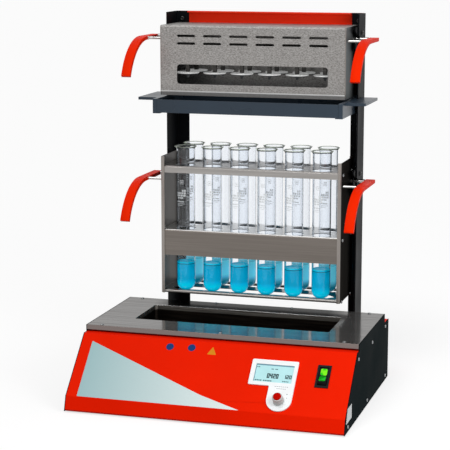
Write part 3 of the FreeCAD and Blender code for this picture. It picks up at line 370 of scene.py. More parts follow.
def make_side_steel(name, node, dull, tint):
    """Side plate: a front edge or flange painted bright as a highlight, and the face behind it in a painted
    tone, lighter as a reflection on the hood's sides and darker as shade on the rack's sides.
    """
    made = make_material(name, dull, 0.40, metallic=1.0, Specular_Tint=(*even(tint), 1))
    grain = noise(made, (420, 420, 5), *BRUSH_GRAIN)
    # Painted highlight: the front edge or flange is brighter than the face behind it.
    edge = blend(made, grain, (0.27, 0.248, 0.230), (0.36, 0.330, 0.306))
    # Painted light on the face: its tone, set by each copy, stands for how that side is lit.
    face = blend(made, grain, times(dull, 0.7), times(dull, 1.3))
    behind_edge = past(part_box(node)[0].y, SIDE_EDGE_FADE)
    set_color(made, blend(made, along(made, "Y"), edge, face, behind_edge))
    vary_roughness(made, grain, 0.34, 0.48)
    add_bump(made, grain, 0.2)
    return made


def make_plate_steel():
    """Polished plate, its front fold painted a dull reddish brown as a reflection of the red console, and a
    dark patch behind the well.
    """
    made = brushed_metal("plate_steel", (0.26, 0.25, 0.24), (0.60, 0.59, 0.58),
                         roughness=(0.08, 0.15), stretch=(5, 420, 420), metallic=0.88)
    shader = shader_of(made)
    shader.inputs["Specular Tint"].default_value = (0.55, 0.55, 0.55, 1)
    polish = shader.inputs["Base Color"].links[0].from_socket
    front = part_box("top_plate")[0].y
    # Painted reflection: the front fold is dull reddish brown, the red console seen in it.
    bright = blend(made, along(made, "Y"), (0.20, 0.165, 0.155), polish, past(front, PLATE_FOLD_FADE))
    # A darker patch behind the well, where the plate goes nearly black.
    tinted = blend(made, along(made, "Y"), bright, (0.020, 0.018, 0.016), HEAT_PATCH_Y)
    aside = made.node_tree.nodes.new("ShaderNodeMath")
    aside.operation = "ABSOLUTE"
    made.node_tree.links.new(along(made, "X"), aside.inputs[0])
    set_color(made, blend(made, aside.outputs[0], tinted, bright, HEAT_PATCH_X))
    return made


def make_hood_steel():
    """Speckled sheet with a painted highlight, a near-white line where it folds into the hem, and the hem
    below it painted lighter, with little metal, as the light it catches.
    """
    made = make_material("hood_steel", (0.30, 0.29, 0.28), 0.40, metallic=1.0)
    grain = noise(made, (260, 260, 640), *BRUSH_GRAIN)
    sheet = blend(made, grain, (0.15, 0.14, 0.132), (0.50, 0.485, 0.47))
    hem = blend(made, grain, (0.24, 0.235, 0.23), (0.34, 0.335, 0.33))
    below_line = past(HOOD_FOLD_Z, HEM_LINE_FADE)
    above_line = past(HOOD_FOLD_Z, HOOD_SHEET_FADE)
    # Painted highlight along the bend, and painted light on the hem below it.
    folded = blend(made, along(made, "Z"), hem, (0.88, 0.88, 0.87), below_line)
    set_color(made, blend(made, along(made, "Z"), folded, sheet, above_line))
    vary_roughness(made, grain, 0.32, 0.48)
    feed(made, "Metallic", between(made, along(made, "Z"), 0.15, 1.0, above_line))
    add_bump(made, grain, 0.5)
    return made


def make_cap_enamel():
    """Suction cap: a white rim with a painted glow, standing for the highlight on its rolled edge, above an
    underside painted dark grey as shade.
    """
    # The emission is painted light: the cap glows though it is no lamp.
    made = make_material("cap_painted_light", (0.8, 0.8, 0.8), 0.30, Emission_Strength=0.22)
    worn = noise(made, even(120))
    rim = blend(made, worn, (0.82, 0.83, 0.82), (0.92, 0.92, 0.91))
    # Painted shade on the underside.
    under = blend(made, worn, (0.045, 0.048, 0.050), (0.085, 0.088, 0.090))
    above_foot = past(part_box("suction_caps")[0].z, CAP_RIM_FADE)
    color = blend(made, along(made, "Z"), under, rim, above_foot)
    set_color(made, color)
    feed(made, "Emission Color", color)
    return made


def make_shelf_steel(name, node, lip, top, roughness, under=None):
    """Rack shelf: brushed lip in front and top face behind it, each in a tone painted for the light it gets,
    and, where given, an underside painted nearly black as shade.

    lip, top and under are pairs of a dark and a light tone, and roughness is that of lip and top.
    """
    made = make_material(name, top[0], roughness[0], metallic=1.0)
    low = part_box(node)[0]
    grain = noise(made, (6, 420, 420), *BRUSH_GRAIN)
    behind_lip = past(low.y, SHELF_LIP_FADE)
    # Lip and top are one steel in two painted tones, for how each face is lit.
    color = blend(made, along(made, "Y"), blend(made, grain, *lip), blend(made, grain, *top), behind_lip)
    if under:
        # Painted shade under the shelf.
        above = past(low.z, SHELF_UNDER_FADE)
        color = blend(made, along(made, "Z"), blend(made, grain, *under), color, above)
    set_color(made, color)
    feed(made, "Roughness", between(made, along(made, "Y"), *roughness, behind_lip))
    add_bump(made, grain, 0.2)
    return made


def make_well_steel():
    """Folded edge at the top of the well painted brighter as lit, and the well below it painted nearly black
    as shade.
    """
    made = make_material("well_steel", (0.02, 0.016, 0.013), 0.45, metallic=1.0)
    grain = noise(made, (9, 260, 260), *BRUSH_GRAIN)
    rim = blend(made, grain, (0.13, 0.12, 0.105), (0.24, 0.225, 0.205))
    # Painted shade inside the well.
    scorched = blend(made, grain, (0.008, 0.006, 0.005), (0.028, 0.022, 0.018))
    set_color(made, blend(made, along(made, "Z"), scorched, rim, WELL_RIM_Z))
    vary_roughness(made, grain, 0.36, 0.55)
    add_bump(made, grain, 0.2)
    return made


def make_mint_film():
    """Pale film on the console that fades from mint grey at the left to nearly white."""
    made = make_material("mint_film", (0.45, 0.55, 0.55), 0.36, Specular_IOR_Level=0.25)
    set_color(made, blend(made, along(made, "X"), (0.34, 0.52, 0.54), (0.74, 0.82, 0.81), MINT_FILM_X))
    add_bump(made, noise(made, even(400)), 0.08)
    return made


def make_glass():
    """Clear borosilicate, faintly blue, with painted shade that darkens the wall where it is seen edge-on."""
    made = make_material("tube_glass", (0.95, 0.97, 0.99), 0.0, Transmission_Weight=1.0, IOR=1.33,
                         Specular_IOR_Level=0.1)
    # Painted shade: the tint goes dark grey where the wall is seen edge-on.
    set_color(made, blend(made, edge_on(made), (0.955, 0.972, 0.995), (0.20, 0.25, 0.30), (0.50, 0.76)))
    vary_roughness(made, noise(made, (60, 60, 6)), 0.0, 0.012)
    return made


def make_rim_glass():
    """Fire-polished rim, where the thick glass shows its green."""
    made = make_material("rim_glass", (0.84, 0.92, 0.82), 0.04, Transmission_Weight=0.7, IOR=1.3,
                         Specular_IOR_Level=0.8)
    set_color(made, blend(made, noise(made, even(150)), (0.78, 0.87, 0.74), (0.92, 0.96, 0.90)))
    return made


def make_liquid(name, body, foot, line, glow):
    """Blue digest with painted light: a glow over its body, a brighter foot where light gathers, a dark line
    of painted shade and a pale painted highlight on the surface above it.
    """
    made = make_material(name, body, 0.30, Specular_IOR_Level=0.03, Emission_Strength=1.0)
    above_foot = past(LIQUID_FOOT_Z, FOOT_FADE)
    cloudy = blend(made, noise(made, (70, 70, 22)), times(body, 0.86), times(body, 1.12))
    column = blend(made, along(made, "Z"), foot, cloudy, above_foot)
    # Painted shade: a dark line just below the surface.
    lined = blend(made, along(made, "Z"), column, line, past(LIQUID_TOP_Z, DARK_LINE_FADE))
    surface = past(LIQUID_TOP_Z, SURFACE_FADE)
    # Painted highlight: the surface above the line is pale.
    set_color(made, blend(made, along(made, "Z"), lined, times(foot, 1.5), surface))
    # Painted glow: the digest gives off light, brighter at the foot.
    lit = blend(made, along(made, "Z"), times(foot, glow), times(body, glow), above_foot)
    feed(made, "Emission Color", lit)
    return made


def make_print():
    """Pale enamel printed on the glass, thin enough to let some light through, with a painted glow that keeps
    it pale behind the glass.
    """
    # The emission is painted light.
    made = make_material("tube_print", (0.60, 0.63, 0.65), 0.6, Alpha=0.75,
                         Emission_Color=(0.60, 0.63, 0.65, 1), Emission_Strength=0.22)
    set_color(made, blend(made, noise(made, even(500)), (0.52, 0.56, 0.58), (0.68, 0.70, 0.71)))
    return made


def make_lens(name, base, hot):
    """Green lens with its lamp showing as a warmer spot."""
    made = make_material(name, base, 0.30, Specular_IOR_Level=0.08,
                         Emission_Color=(*base, 1), Emission_Strength=0.30)
    set_color(made, blend(made, noise(made, even(110), detail=0.0), base, hot, (0.42, 0.62)))
    add_bump(made, noise(made, even(700)), strength=0.1, distance=0.00008)
    return made


PLATE = make_plate_steel()
HOOD_STEEL = make_hood_steel()
CAP_ENAMEL = make_cap_enamel()
# The middle shelf's top is painted bright as lit; the bottom shelf's top is painted dark as shaded, with a
# painted black underside.
MIDDLE_SHELF_STEEL = make_shelf_steel("middle_shelf_lit_steel", "rack_middle_shelf",
                                      lip=((0.175, 0.155, 0.138), (0.225, 0.200, 0.180)),
                                      top=((0.66, 0.66, 0.65), (0.84, 0.84, 0.83)),
                                      roughness=(0.40, 0.30))
BOTTOM_SHELF_STEEL = make_shelf_steel("bottom_shelf_shaded_steel", "rack_bottom_shelf",
                                      lip=((0.24, 0.228, 0.215), (0.36, 0.345, 0.33)),
                                      top=((0.16, 0.18, 0.185), (0.24, 0.26, 0.265)),
                                      roughness=(0.36, 0.07),
                                      under=((0.012, 0.010, 0.008), (0.030, 0.026, 0.022)))
# One side steel in three copies: the hood's sides painted lighter as a reflection, the rack's sides painted
# darker as shade.
HOOD_SIDE_STEEL = make_side_steel("hood_side_lit_steel", "hood_side_right", (0.150, 0.165, 0.170), 0.6)
LEFT_SIDE_STEEL = make_side_steel("left_side_shaded_steel", "rack_side_left", (0.070, 0.066, 0.062), 0.9)
RIGHT_SIDE_STEEL = make_side_steel("right_side_shaded_steel", "rack_side_right", (0.050, 0.048, 0.045), 0.3)
WELL_STEEL = make_well_steel()
MINT_FILM = make_mint_film()
GLASS = make_glass()
RIM_GLASS = make_rim_glass()
# The back row is the same digest, painted paler with a darker foot for the light that reaches it through the
# front row.
LIQUIDS = {
    "front": make_liquid("blue_digest", body=(0.0002, 0.390, 0.630), foot=(0.001, 0.680, 0.940),
                         line=(0.0, 0.04, 0.08), glow=0.38),
    "back": make_liquid("back_digest_lit_copy", body=(0.160, 0.700, 0.880), foot=(0.006, 0.200, 0.300),
                        line=(0.0, 0.16, 0.26), glow=0.45),
}
PRINT = make_print()
LENSES = {
    "upper": make_lens("lens_lit", (0.012, 0.44, 0.002), (0.20, 0.74, 0.006)),
    "lower": make_lens("lens_dim", (0.001, 0.22, 0.004), (0.02, 0.42, 0.03)),
}

# ---------------------------------------------------------------- mesh helpers


def add_object(name, data):
    obj = bpy.data.objects.new(name, data)
    bpy.context.scene.collection.objects.link(obj)
    return obj


def from_bmesh(name, shape, material, smooth=False):
    """Object from a finished shape, with its faces turned outwards."""
    bmesh.ops.recalc_face_normals(shape, faces=shape.faces)
    mesh = bpy.data.meshes.new(name)
    shape.to_mesh(mesh)
    shape.free()
    mesh.materials.append(material)
    for polygon in mesh.polygons:
        polygon.use_smooth = smooth
    return add_object(name, mesh)


def place(obj, body, replaces=None):
    """What the piece rides on, and the node that it stands for."""
    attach(obj, body)
    if replaces:
        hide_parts(replaces)


def add_turned(shape, start, axis, profile, steps):
    """Adds a turned form to shape. profile is (radius, distance along axis); radius 0 closes an end."""
    across = X_AXIS if abs(axis.x) < 0.5 else Z_AXIS
    across = (across - axis * across.dot(axis)).normalized()
    other = axis.cross(across)
    turns = [TAU * k / steps for k in range(steps)]
    spokes = [across * math.cos(turn) + other * math.sin(turn) for turn in turns]
    rings = []
    for radius, distance in profile:
        centre = Vector(start) + axis * distance
        if radius < CLOSED_R:
            rings.append([shape.verts.new(centre)])
        else:
            rings.append([shape.verts.new(centre + spoke * radius) for spoke in spokes])
    for low, high in zip(rings, rings[1:]):
        for k in range(steps):
            if len(low) == 1:
                corners = [low[0], high[k], high[k - 1]]
            elif len(high) == 1:
                corners = [low[k - 1], low[k], high[0]]
            else:
                corners = [low[k - 1], low[k], high[k], high[k - 1]]
            shape.faces.new(corners)


def turned(name, start, axis, profile, material):
    shape = bmesh.new()
    add_turned(shape, start, axis, profile, TURNED_STEPS)
    return from_bmesh(name, shape, material, smooth=True)


def bevel(obj, width):
    """Rounded edges, on a copy of the shape that welds the split corners first."""
    weld = obj.modifiers.new("weld", "WELD")
    weld.merge_threshold = WELD
    rounded = obj.modifiers.new("bevel", "BEVEL")
    rounded.width = width
    rounded.segments = BEVEL_SEGMENTS
    rounded.limit_method = "ANGLE"
    rounded.angle_limit = BEVEL_ANGLE
    rounded.use_clamp_overlap = True
    rounded.harden_normals = True


def console(x, up, out=0.0):
    """Point at x, a distance up the console and a height out of its face."""
    run, rise = math.cos(CONSOLE_ANGLE), math.sin(CONSOLE_ANGLE)
    return Vector((x, FOLD[0] + up * run - out * rise, FOLD[1] + up * rise + out * run))


CONSOLE_OUT = console(0, 0, 1) - console(0, 0, 0)
CONSOLE_UP = console(0, 1) - console(0, 0)


def add_slab(shape, low_points, high_points):
    """Adds a flat slab to shape, between two outlines with the same number of points."""
    low = [shape.verts.new(point) for point in low_points]
    high = [shape.verts.new(point) for point in high_points]
    shape.faces.new(low)
    shape.faces.new(high)
    for k in range(len(low)):
        shape.faces.new([low[k - 1], low[k], high[k], high[k - 1]])


def rounded_outline(points, radius):
    """Outline with its corners rounded, in the order of its one face."""
    shape = bmesh.new()
    corners = [shape.verts.new(point) for point in points]
    shape.faces.new(corners)
    bmesh.ops.bevel(shape, geom=corners, offset=radius, segments=6, affect="VERTICES", profile=0.5)
    shape.faces.ensure_lookup_table()
    outline = [vert.co.copy() for vert in shape.faces[0].verts]
    shape.free()
    return outline


def film(name, points, outward, thick, material, body="base", rounding=0.0):
    """Thin film with the given outline, standing thick proud of the face it lies on."""
    outline = rounded_outline(points, rounding) if rounding else points
    shape = bmesh.new()
    add_slab(shape, outline, [point + outward * thick for point in outline])
    place(from_bmesh(name, shape, material), body)


def disc_points(centre, across, other, radius, steps=36):
    turns = [TAU * k / steps for k in range(steps)]
    return [centre + across * (radius * math.cos(t)) + other * (radius * math.sin(t)) for t in turns]


# ---------------------------------------------------------------- CAD nodes and their materials

PAINTS = {
    BLACK: ["base_pan", "side_panel_left", "side_panel_right", "stand_brackets"],
    COLUMN_BLACK: ["column_left", "column_right", "hook_plates"],
    RED: ["front_panel", "rear_panel"],
    BAR_RED: ["crossbar"],
    STRAP_RED: ["hood_handle_left", "hood_handle_right", "rack_handle_left", "rack_handle_right"],
    PLATE: ["top_plate"],
    WELL_STEEL: ["heating_well"],
    HOOD_STEEL: ["hood_cover"],
    HOOD_SIDE_STEEL: ["hood_side_left", "hood_side_right"],
    LEFT_SIDE_STEEL: ["rack_side_left"],
    RIGHT_SIDE_STEEL: ["rack_side_right"],
    MIDDLE_SHELF_STEEL: ["rack_middle_shelf"],
    SHELF_STEEL: ["rack_top_shelf"],
    BOTTOM_SHELF_STEEL: ["rack_bottom_shelf"],
    DUCT_STEEL: ["exhaust_manifold"],
    SLATE: ["tray_shelf", "drip_tray"],
    POLISHED: ["hood_rods", "rack_rods"],
    SCREW_STEEL: ["encoder_shaft", "encoder_bush"],
    RUBBER: ["feet"],
    BLACK_PLASTIC: ["cable_gland", "switch_frame", "switch_rocker", "hose_connector"],
    WHITE_PLASTIC: ["display_bezel"],
    SCREEN: ["display_screen"],
    BOARD: ["control_board"],
    CERAMIC: ["heater_holders"],
    QUARTZ: ["quartz_heaters"],
}

# Width of the rounded edge, and the nodes that have it
EDGES = {
    0.0012: ["hood_handle_left", "hood_handle_right", "rack_handle_left", "rack_handle_right", "feet"],
    0.0005: ["front_panel", "top_plate", "crossbar", "column_left", "column_right", "display_bezel",
             "cable_gland"],
    0.0004: ["hood_cover", "rack_side_left", "rack_side_right", "rack_middle_shelf", "rack_top_shelf",
             "rack_bottom_shelf", "tray_shelf", "drip_tray", "hood_side_left", "hood_side_right",
             "side_panel_left", "side_panel_right", "rear_panel", "switch_frame", "switch_rocker",
             "exhaust_manifold", "heating_well", "heater_holders", "stand_brackets", "hook_plates"],
}


def dress_nodes():
    for material, names in PAINTS.items():
        for name in names:
            nodes[name].data.materials.clear()
            nodes[name].data.materials.append(material)
    for width, names in EDGES.items():
        for name in names:
            bevel(nodes[name], width)


# ---------------------------------------------------------------- tubes and their samples


def bowl(radius, lift):
    """Profile of a round bottom with a flattened middle."""
    share = 2 / BOTTOM_POWER
    turns = [math.pi / 2 * k / BOWL_STEPS for k in range(BOWL_STEPS + 1)]
    return [(radius * math.sin(t) ** share, lift + radius * (1 - math.cos(t) ** share)) for t in turns]


def tube_profiles(length, level):
    """Profiles of the glass, its rim and the liquid, as (radius, height above the tube's lowest point)."""
    inner = TUBE_R - TUBE_WALL
    neck = length - RIM_FLARE
    seam = length - RIM_HEIGHT
    outside = bowl(TUBE_R, 0.0)
    outside += [(TUBE_R, neck), (TUBE_R + 0.0009, neck + 0.0022), (RIM_R - 0.0009, seam)]
    inside = [(RIM_R - 0.0026, seam), (inner + 0.0009, neck + 0.0020), (inner, neck)]
    inside += bowl(inner, TUBE_WALL)[::-1]
    rim = [(RIM_R - 0.0026, seam + 0.0001), (RIM_R - 0.0006, seam + 0.0001), (RIM_R, seam + 0.0006)]
    rim += [(RIM_R - 0.0003, length - 0.0004), (RIM_R - 0.0011, length), (RIM_R - 0.0023, length - 0.0004)]
    rim += [(RIM_R - 0.0028, seam + 0.0007), (RIM_R - 0.0026, seam + 0.0001)]
    wide = inner + SAMPLE_OVERLAP
    sample = bowl(wide, TUBE_WALL - SAMPLE_OVERLAP)
    sample += [(wide, level + 0.0012), (inner - 0.0012, level + 0.0002), (inner - 0.004, level - 0.0003)]
    sample += [(0, level - 0.0003)]
    return outside + inside, rim, sample


# Print on the glass as (arc from, arc to, low, high) in mm, about the middle of its widest block
PRINT_BARS = [
    (1, 5, 5.6, 10.2), (5.8, 9.5, 5.6, 10.2), (-12, -7.6, 0.2, 4.6), (-6.8, -1, 0.2, 4.6),
    (0, 4.4, 0.2, 4.6), (5.2, 9.5, 0.2, 4.6), (-12, -3.4, -4.6, -0.8), (-2.4, 3, -4.6, -0.8),
    (4, 9.5, -4.6, -0.8), (-10, -4.4, -9.4, -6.2), (-3.4, 4, -9.4, -6.2), (-12, -6.5, -17.2, -14.8),
    (-5.5, 6, -17.2, -14.8), (-11, 8, -21.2, -20.0), (-11, 2, -24.4, -23.4), (-4, 4.5, 22.0, 23.2),
    (-4, 4.5, 29.4, 30.6), (-4, -2.9, 23.2, 29.4), (3.4, 4.5, 23.2, 29.4), (-1.8, 2.3, 25, 27.6),
    (-11, -7, 26, 27), (-11, -8, 31, 32), (-11, -7, 36, 37), (-11, -8, 41, 42),
]


def tube_marks(name, centre, turn, body):
    """Pale enamel on the glass: rows of bars, a frame and short level ticks, none of them lettering."""
    shape = bmesh.new()
    radius = TUBE_R + MARK_LIFT
    for start, end, low, high in PRINT_BARS:
        columns = []
        for k in range(MARK_COLUMNS):
            angle = turn + (start + (end - start) * k / (MARK_COLUMNS - 1)) * MM / TUBE_R
            x = centre.x + radius * math.sin(angle)
            y = centre.y - radius * math.cos(angle)
            columns.append([shape.verts.new((x, y, MARK_Z + z * MM)) for z in (low, high)])
        for left, right in zip(columns, columns[1:]):
            shape.faces.new([left[0], right[0], right[1], left[1]])
    place(from_bmesh(name, shape, PRINT, smooth=True), body)


def make_tubes():
    """Glass, rim, sample and print of each tube. The print is turned a little differently on each."""
    for row, liquid in LIQUIDS.items():
        for k in range(1, 7):
            node = f"tube_{row}_{k}"
            low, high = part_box(node)
            centre = Vector(((low.x + high.x) / 2, (low.y + high.y) / 2, low.z))
            glass, rim, sample = tube_profiles(high.z - low.z, LIQUID_TOP_Z - low.z)
            place(turned(f"{node}_glass", centre, Z_AXIS, glass, GLASS), node, node)
            place(turned(f"{node}_rim", centre, Z_AXIS, rim, RIM_GLASS), node)
            place(turned(f"{node}_sample", centre, Z_AXIS, sample, liquid), node)
            swing = MARK_SWING * math.sin(5 * k + len(row))
            tube_marks(f"{node}_marks", centre, MARK_TURN + swing, node)


# ---------------------------------------------------------------- small fittings


def add_screw(shape, start, axis, radius, height):
    """Domed head with a round socket in the middle."""
    socket = radius * 0.42
    profile = [(radius, 0), (radius, height * 0.45), (radius * 0.92, height * 0.75), (radius * 0.72, height)]
    profile += [(socket, height), (socket * 0.9, height * 0.4), (0, height * 0.35)]
    add_turned(shape, start, axis, profile, SCREW_STEPS)


def solid_boxes(name):
    """Box of each separate solid in a CAD node, from its welded mesh."""
    shape = bmesh.new()
    shape.from_mesh(nodes[name].data)
    bmesh.ops.remove_doubles(shape, verts=shape.verts, dist=WELD)
    left = set(shape.verts)
    boxes = []
    while left:
        stack = [left.pop()]
        found = list(stack)
        while stack:
            near = {vert for edge in stack.pop().link_edges for vert in edge.verts} & left
            left -= near
            stack.extend(near)
            found.extend(near)
        low = Vector([min(vert.co[i] for vert in found) for i in range(3)])
        high = Vector([max(vert.co[i] for vert in found) for i in range(3)])
        boxes.append((low, high))
    shape.free()
    return sorted(boxes, key=lambda limits: tuple(limits[0]))


def screw_heads(node, body, material):
    """Turned heads in place of the plain hexagonal ones of a node.

    Those that lie flat face up, the two of the crossbar face the front, and all others face away from
    the part's middle.
    """
    shape = bmesh.new()
    for low, high in solid_boxes(node):
        size = high - low
        thin = min(range(3), key=lambda i: size[i])
        centre = (low + high) / 2
        sign = 1 if thin == 2 else math.copysign(1, centre[thin])
        below_crossbar_top = abs(high.z - (cad_high.z - CROSSBAR_BOLT_DROP))
        if thin == 1 and below_crossbar_top < CROSSBAR_BOLT_RANGE:
            sign = -1
        axis = Vector([sign if i == thin else 0 for i in range(3)])
        add_screw(shape, centre - axis * size[thin] / 2, axis, sorted(size)[1] / 2, size[thin])
    place(from_bmesh(f"{node}_heads", shape, material, smooth=True), body, node)


def make_caps():
    """Suction caps: shallow pressed bowls with a rolled rim and a small tip for the condensate."""
    shape = bmesh.new()
    for low, high in solid_boxes("suction_caps"):
        centre = Vector(((low.x + high.x) / 2, (low.y + high.y) / 2, low.z))
        radius = (high.x - low.x) / 2
        thick = high.z - low.z
        tip = [(0, -0.0075), (0.0018, -0.0072), (0.0028, -0.0060), (0.0032, -0.0030), (0.0060, -0.0006)]
        under = [(radius - 0.0085, 0.0), (radius - 0.0040, 0.0008), (radius - 0.0014, 0.0022)]
        rim = [(radius, 0.0038), (radius, thick - 0.0006), (radius - 0.0008, thick)]
        rim += [(radius - 0.0022, thick - 0.0006), (radius - 0.0040, 0.0030)]
        neck = [(0.0090, 0.0024), (0.0070, thick), (0, thick)]
        add_turned(shape, centre, Z_AXIS, tip + under + rim + neck, CAP_STEPS)
    place(from_bmesh("suction_cap_discs", shape, CAP_ENAMEL, smooth=True), "hood", "suction_caps")


def make_knob():
    """Knob with a soft lower edge and a shallow grip waist, and its red cap."""
    foot = console(*KNOB_PLACE, KNOB_SEAT)
    skirt = [(0.0032, 0.0123), (0.0032, 0), (0.0103, 0), (0.0109, 0.0007), (0.0109, 0.0024), (0.0106, 0.0042)]
    skirt += [(0.0101, 0.0110), (0.0100, 0.0138), (0.0095, 0.0147), (0.0086, KNOB_HEIGHT), (0, KNOB_HEIGHT)]
    place(turned("knob_skirt", foot, CONSOLE_OUT, skirt, KNOB_PLASTIC), "knob", "knob_body")
    button = [(0, 0), (0.0079, 0), (0.0080, 0.0010), (0.0076, 0.0019), (0.0062, 0.0024), (0, 0.0025)]
    top = foot + CONSOLE_OUT * KNOB_HEIGHT
    place(turned("knob_button", top, CONSOLE_OUT, button, CAP_RED), "knob", "knob_cap")


# Segments that each figure lights: a top, b and c right, d bottom, e and f left, g middle
SEGMENTS = {"0": "abcdef", "1": "bc", "2": "abged", "4": "fgbc"}

# Figures on the screen as (figures, left, pitch, low, width, height, stroke), on the console
FIGURES = [
    ("0420", 0.1160, 0.0060, 0.0758, 0.0052, 0.0104, 0.0020),
    ("120", 0.1498, 0.0056, 0.0768, 0.0046, 0.0084, 0.0016),
]

# Rows of bars as (left, low, width, height, count, pitch), in mm on the console
SCREEN_SMALL = [
    (93.5, 68.6, 2.6, 2.6, 4, 3.6), (110.0, 68.4, 2.6, 2.6, 5, 3.6), (148.5, 69.4, 2.4, 2.0, 4, 3.4),
    (122.0, 95.6, 5.4, 1.6, 2, 8.0), (92.8, 98.6, 2.4, 1.8, 2, 3.2),
]
SCREEN_SHADE = [(90.8, 103.6, 77.2, 2.6, 1, 0), (90.8, 66.8, 1.2, 36.8, 1, 0)]
BEZEL_PRINT = [
    (136.0, 57.4, 2.8, 1.1, 7, 4.0), (140.5, 52.9, 2.8, 1.0, 5, 4.0), (162.6, 41.2, 2.2, 2.2, 1, 0),
    (163.6, 33.4, 1.6, 1.6, 1, 0),
]


def add_bar(shape, x, up, width, height, out):
    corners = [(x, up), (x + width, up), (x + width, up + height), (x, up + height)]
    low = [console(*corner, out) for corner in corners]
    high = [console(*corner, out + BAR_THICK) for corner in corners]
    add_slab(shape, low, high)


def add_figure(shape, value, x, up, width, height, stroke, out):
    half = height / 2
    right = x + width - stroke
    places = {
        "a": (x, up + height - stroke, width, stroke),
        "b": (right, up + half, stroke, half),
        "c": (right, up, stroke, half),
        "d": (x, up, width, stroke),
        "e": (x, up, stroke, half),
        "f": (x, up + half, stroke, half),
        "g": (x, up + half - stroke / 2, width, stroke),
    }
    for segment in SEGMENTS[value]:
        add_bar(shape, *places[segment], out)


def bars(name, rows, out, material):
    """One piece from rows of bars, at a height above the console."""
    shape = bmesh.new()
    for x, up, width, height, count, pitch in rows:
        for k in range(count):
            add_bar(shape, (x + k * pitch) * MM, up * MM, width * MM, height * MM, out)
    place(from_bmesh(name, shape, material), "base")


def make_display():
    """Figures and small marks on the screen, its shaded edges and the plain marks round the knob."""
    shape = bmesh.new()
    for figures, left, pitch, *size in FIGURES:
        for k, value in enumerate(figures):
            add_figure(shape, value, left + pitch * k, *size, SCREEN_FACE)
    place(from_bmesh("screen_figures", shape, SEGMENT), "base")
    bars("screen_small_figures", SCREEN_SMALL, SCREEN_FACE, FAINT)
    bars("screen_shade", SCREEN_SHADE, SCREEN_FACE, SCREEN_EDGE)
    bars("bezel_print", BEZEL_PRINT, BEZEL_FACE, PRINTED)


def make_switch_lenses():
    """Two green lenses on the rocker's faces."""
    centre = console(*SWITCH_PLACE, ROCKER_AXIS)
    tilt = Matrix.Rotation(-ROCKER_TILT, 3, "X")
    wide = LENS_HALF_WIDTH
    near, far = LENS_REACH
    for name, sign in (("upper", 1), ("lower", -1)):
        points = []
        for x, reach in [(-wide, near), (wide, near), (wide, far), (-wide, far)][::-sign]:
            height = ROCKER_MIDDLE + reach * math.tan(ROCKER_TILT)
            points.append(centre + tilt @ (X_AXIS * x + CONSOLE_UP * (reach * sign) + CONSOLE_OUT * height))
        outward = tilt @ (CONSOLE_OUT - CONSOLE_UP * (sign * math.tan(ROCKER_TILT))).normalized()
        film(f"rocker_lens_{name}", points, outward, LENS_THICK, LENSES[name], "rocker", LENS_ROUNDING)


# Outlines of the films on the console, as (X, distance up the slope), and of the plate as (Y, Z)
DOTS = {"blue_dot_left": (-0.0955, 0.1300), "blue_dot_right": (-0.0500, 0.1315)}
DOT_R = 0.0080
TRIANGLE = [(-0.0158, 0.1190), (0.0034, 0.1190), (-0.0062, 0.1372)]
WEDGE = [(-0.262, 0.001), (0.074, 0.0005), (-0.010, 0.027), (-0.262, 0.130)]
SIDE_PLATE = [(-0.243, 0.022), (-0.193, 0.022), (-0.193, 0.050), (-0.229, 0.050)]


def make_films():
    """Plain coloured films on the console and a blank plate on the right side."""
    for name, spot in DOTS.items():
        outline = disc_points(console(*spot), X_AXIS, CONSOLE_UP, DOT_R)
        film(name, outline, CONSOLE_OUT, FILM_THICK, BLUE_FILM)
    triangle = [console(*spot) for spot in TRIANGLE]
    film("yellow_triangle", triangle, CONSOLE_OUT, FILM_THICK, YELLOW_FILM, rounding=0.0022)
    wedge = [console(*spot) for spot in WEDGE]
    film("pale_wedge", wedge, CONSOLE_OUT, WEDGE_THICK, MINT_FILM, rounding=0.0015)
    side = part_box("side_panel_right")[1].x
    plate = [Vector((side, y, z)) for y, z in SIDE_PLATE]
    film("blank_plate", plate, X_AXIS, SIDE_PLATE_THICK, WHITE_FILM, rounding=0.001)


# ---------------------------------------------------------------- stage, light and camera


def seen_ray(tree):
    """1 for rays that the camera, gloss or glass sends, 0 for light that diffuses."""
    path = tree.nodes.new("ShaderNodeLightPath")
    seen = path.outputs["Is Camera Ray"]
    for kind in ("Is Glossy Ray", "Is Transmission Ray"):
        either = tree.nodes.new("ShaderNodeMath")
        either.operation = "MAXIMUM"
        tree.links.new(seen, either.inputs[0])
        tree.links.new(path.outputs[kind], either.inputs[1])
        seen = either.outputs[0]
    return seen


def set_strength(tree, target, unseen, seen):
    """Strength of a glow: unseen for light that diffuses, seen for all other rays."""
    level = tree.nodes.new("ShaderNodeMapRange")
    level.inputs["To Min"].default_value = unseen
    level.inputs["To Max"].default_value = seen
    tree.links.new(seen_ray(tree), level.inputs["Value"])
    tree.links.new(level.outputs["Result"], target)


def make_floor():
    """White floor that keeps the object's shadow."""
    material = bpy.data.materials.new("floor")
    material.use_nodes = True
    tree = material.node_tree
    tree.nodes.clear()
    output = tree.nodes.new("ShaderNodeOutputMaterial")
    add = tree.nodes.new("ShaderNodeAddShader")
    diffuse = tree.nodes.new("ShaderNodeBsdfDiffuse")
    diffuse.inputs["Color"].default_value = (*even(FLOOR_GREY), 1)
    glow = tree.nodes.new("ShaderNodeEmission")
    set_strength(tree, glow.inputs["Strength"], 0.0, FLOOR_SEEN)
    tree.links.new(diffuse.outputs[0], add.inputs[0])
    tree.links.new(glow.outputs[0], add.inputs[1])
    tree.links.new(add.outputs[0], output.inputs["Surface"])
    shape = bmesh.new()
    outline = disc_points(Vector(), X_AXIS, Y_AXIS, FLOOR_R, steps=64)
    shape.faces.new([shape.verts.new(point) for point in outline])
    from_bmesh("floor", shape, material)


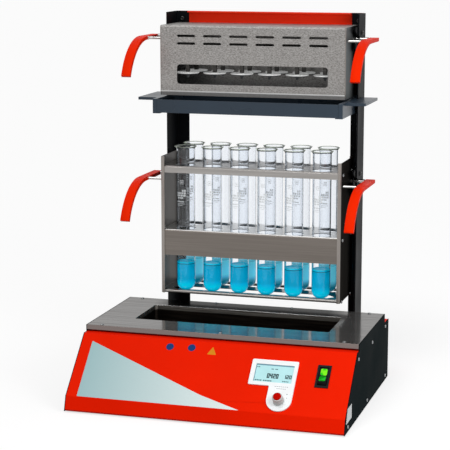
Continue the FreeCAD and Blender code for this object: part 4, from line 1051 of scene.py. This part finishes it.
def make_world():
    """White surroundings for the eye, gloss and glass, and a softer level for diffuse light."""
    world = bpy.data.worlds.new("studio")
    bpy.context.scene.world = world
    world.use_nodes = True
    tree = world.node_tree
    tree.nodes.clear()
    output = tree.nodes.new("ShaderNodeOutputWorld")
    background = tree.nodes.new("ShaderNodeBackground")
    set_strength(tree, background.inputs["Strength"], WORLD_LIGHT, WORLD_SEEN)
    tree.links.new(background.outputs[0], output.inputs["Surface"])


def aim(obj, direction):
    """Turns a lamp or camera to look in a direction."""
    obj.rotation_mode = "QUATERNION"
    obj.rotation_quaternion = direction.to_track_quat("-Z", "Y")


def add_sun(name, direction, strength, angle):
    lamp = bpy.data.lights.new(name, "SUN")
    lamp.energy = strength
    lamp.angle = math.radians(angle)
    aim(add_object(name, lamp), Vector(direction))


def add_softbox(name, spot, target, size, watts):
    """Square lamp that lights the object without showing in gloss or glass."""
    lamp = bpy.data.lights.new(name, "AREA")
    lamp.shape = "SQUARE"
    lamp.size = size
    lamp.energy = watts
    obj = add_object(name, lamp)
    obj.visible_glossy = False
    obj.visible_transmission = False
    obj.location = spot
    aim(obj, Vector(target) - Vector(spot))


def make_lights():
    add_sun("key", direction=(0.10, 0.60, -0.95), strength=1.25, angle=30)
    add_softbox("right_softbox", spot=(0.95, -0.80, 0.82), target=(0.10, 0.0, 0.50), size=0.6, watts=6.5)


def make_camera():
    data = bpy.data.cameras.new("camera")
    data.sensor_width = 36.0
    data.lens = CAMERA_LENS
    data.clip_start = 0.1
    data.clip_end = 200.0
    camera = add_object("camera", data)
    camera.location = CAMERA_PLACE
    azimuth, drop = math.radians(CAMERA_AZIMUTH), math.radians(CAMERA_DROP)
    level = math.cos(drop)
    aim(camera, Vector((-math.sin(azimuth) * level, math.cos(azimuth) * level, -math.sin(drop))))
    bpy.context.scene.camera = camera


# ---------------------------------------------------------------- scene

bpy.context.scene.view_settings.view_transform = "Standard"
make_camera()
make_world()
make_lights()
make_floor()
dress_nodes()
make_tubes()
make_caps()
make_knob()
make_display()
make_switch_lenses()
make_films()
screw_heads("casing_screws", "base", SCREW_STEEL)
screw_heads("stand_bolts", "base", BOLT_STEEL)
screw_heads("rack_screws", "rack", SCREW_STEEL)
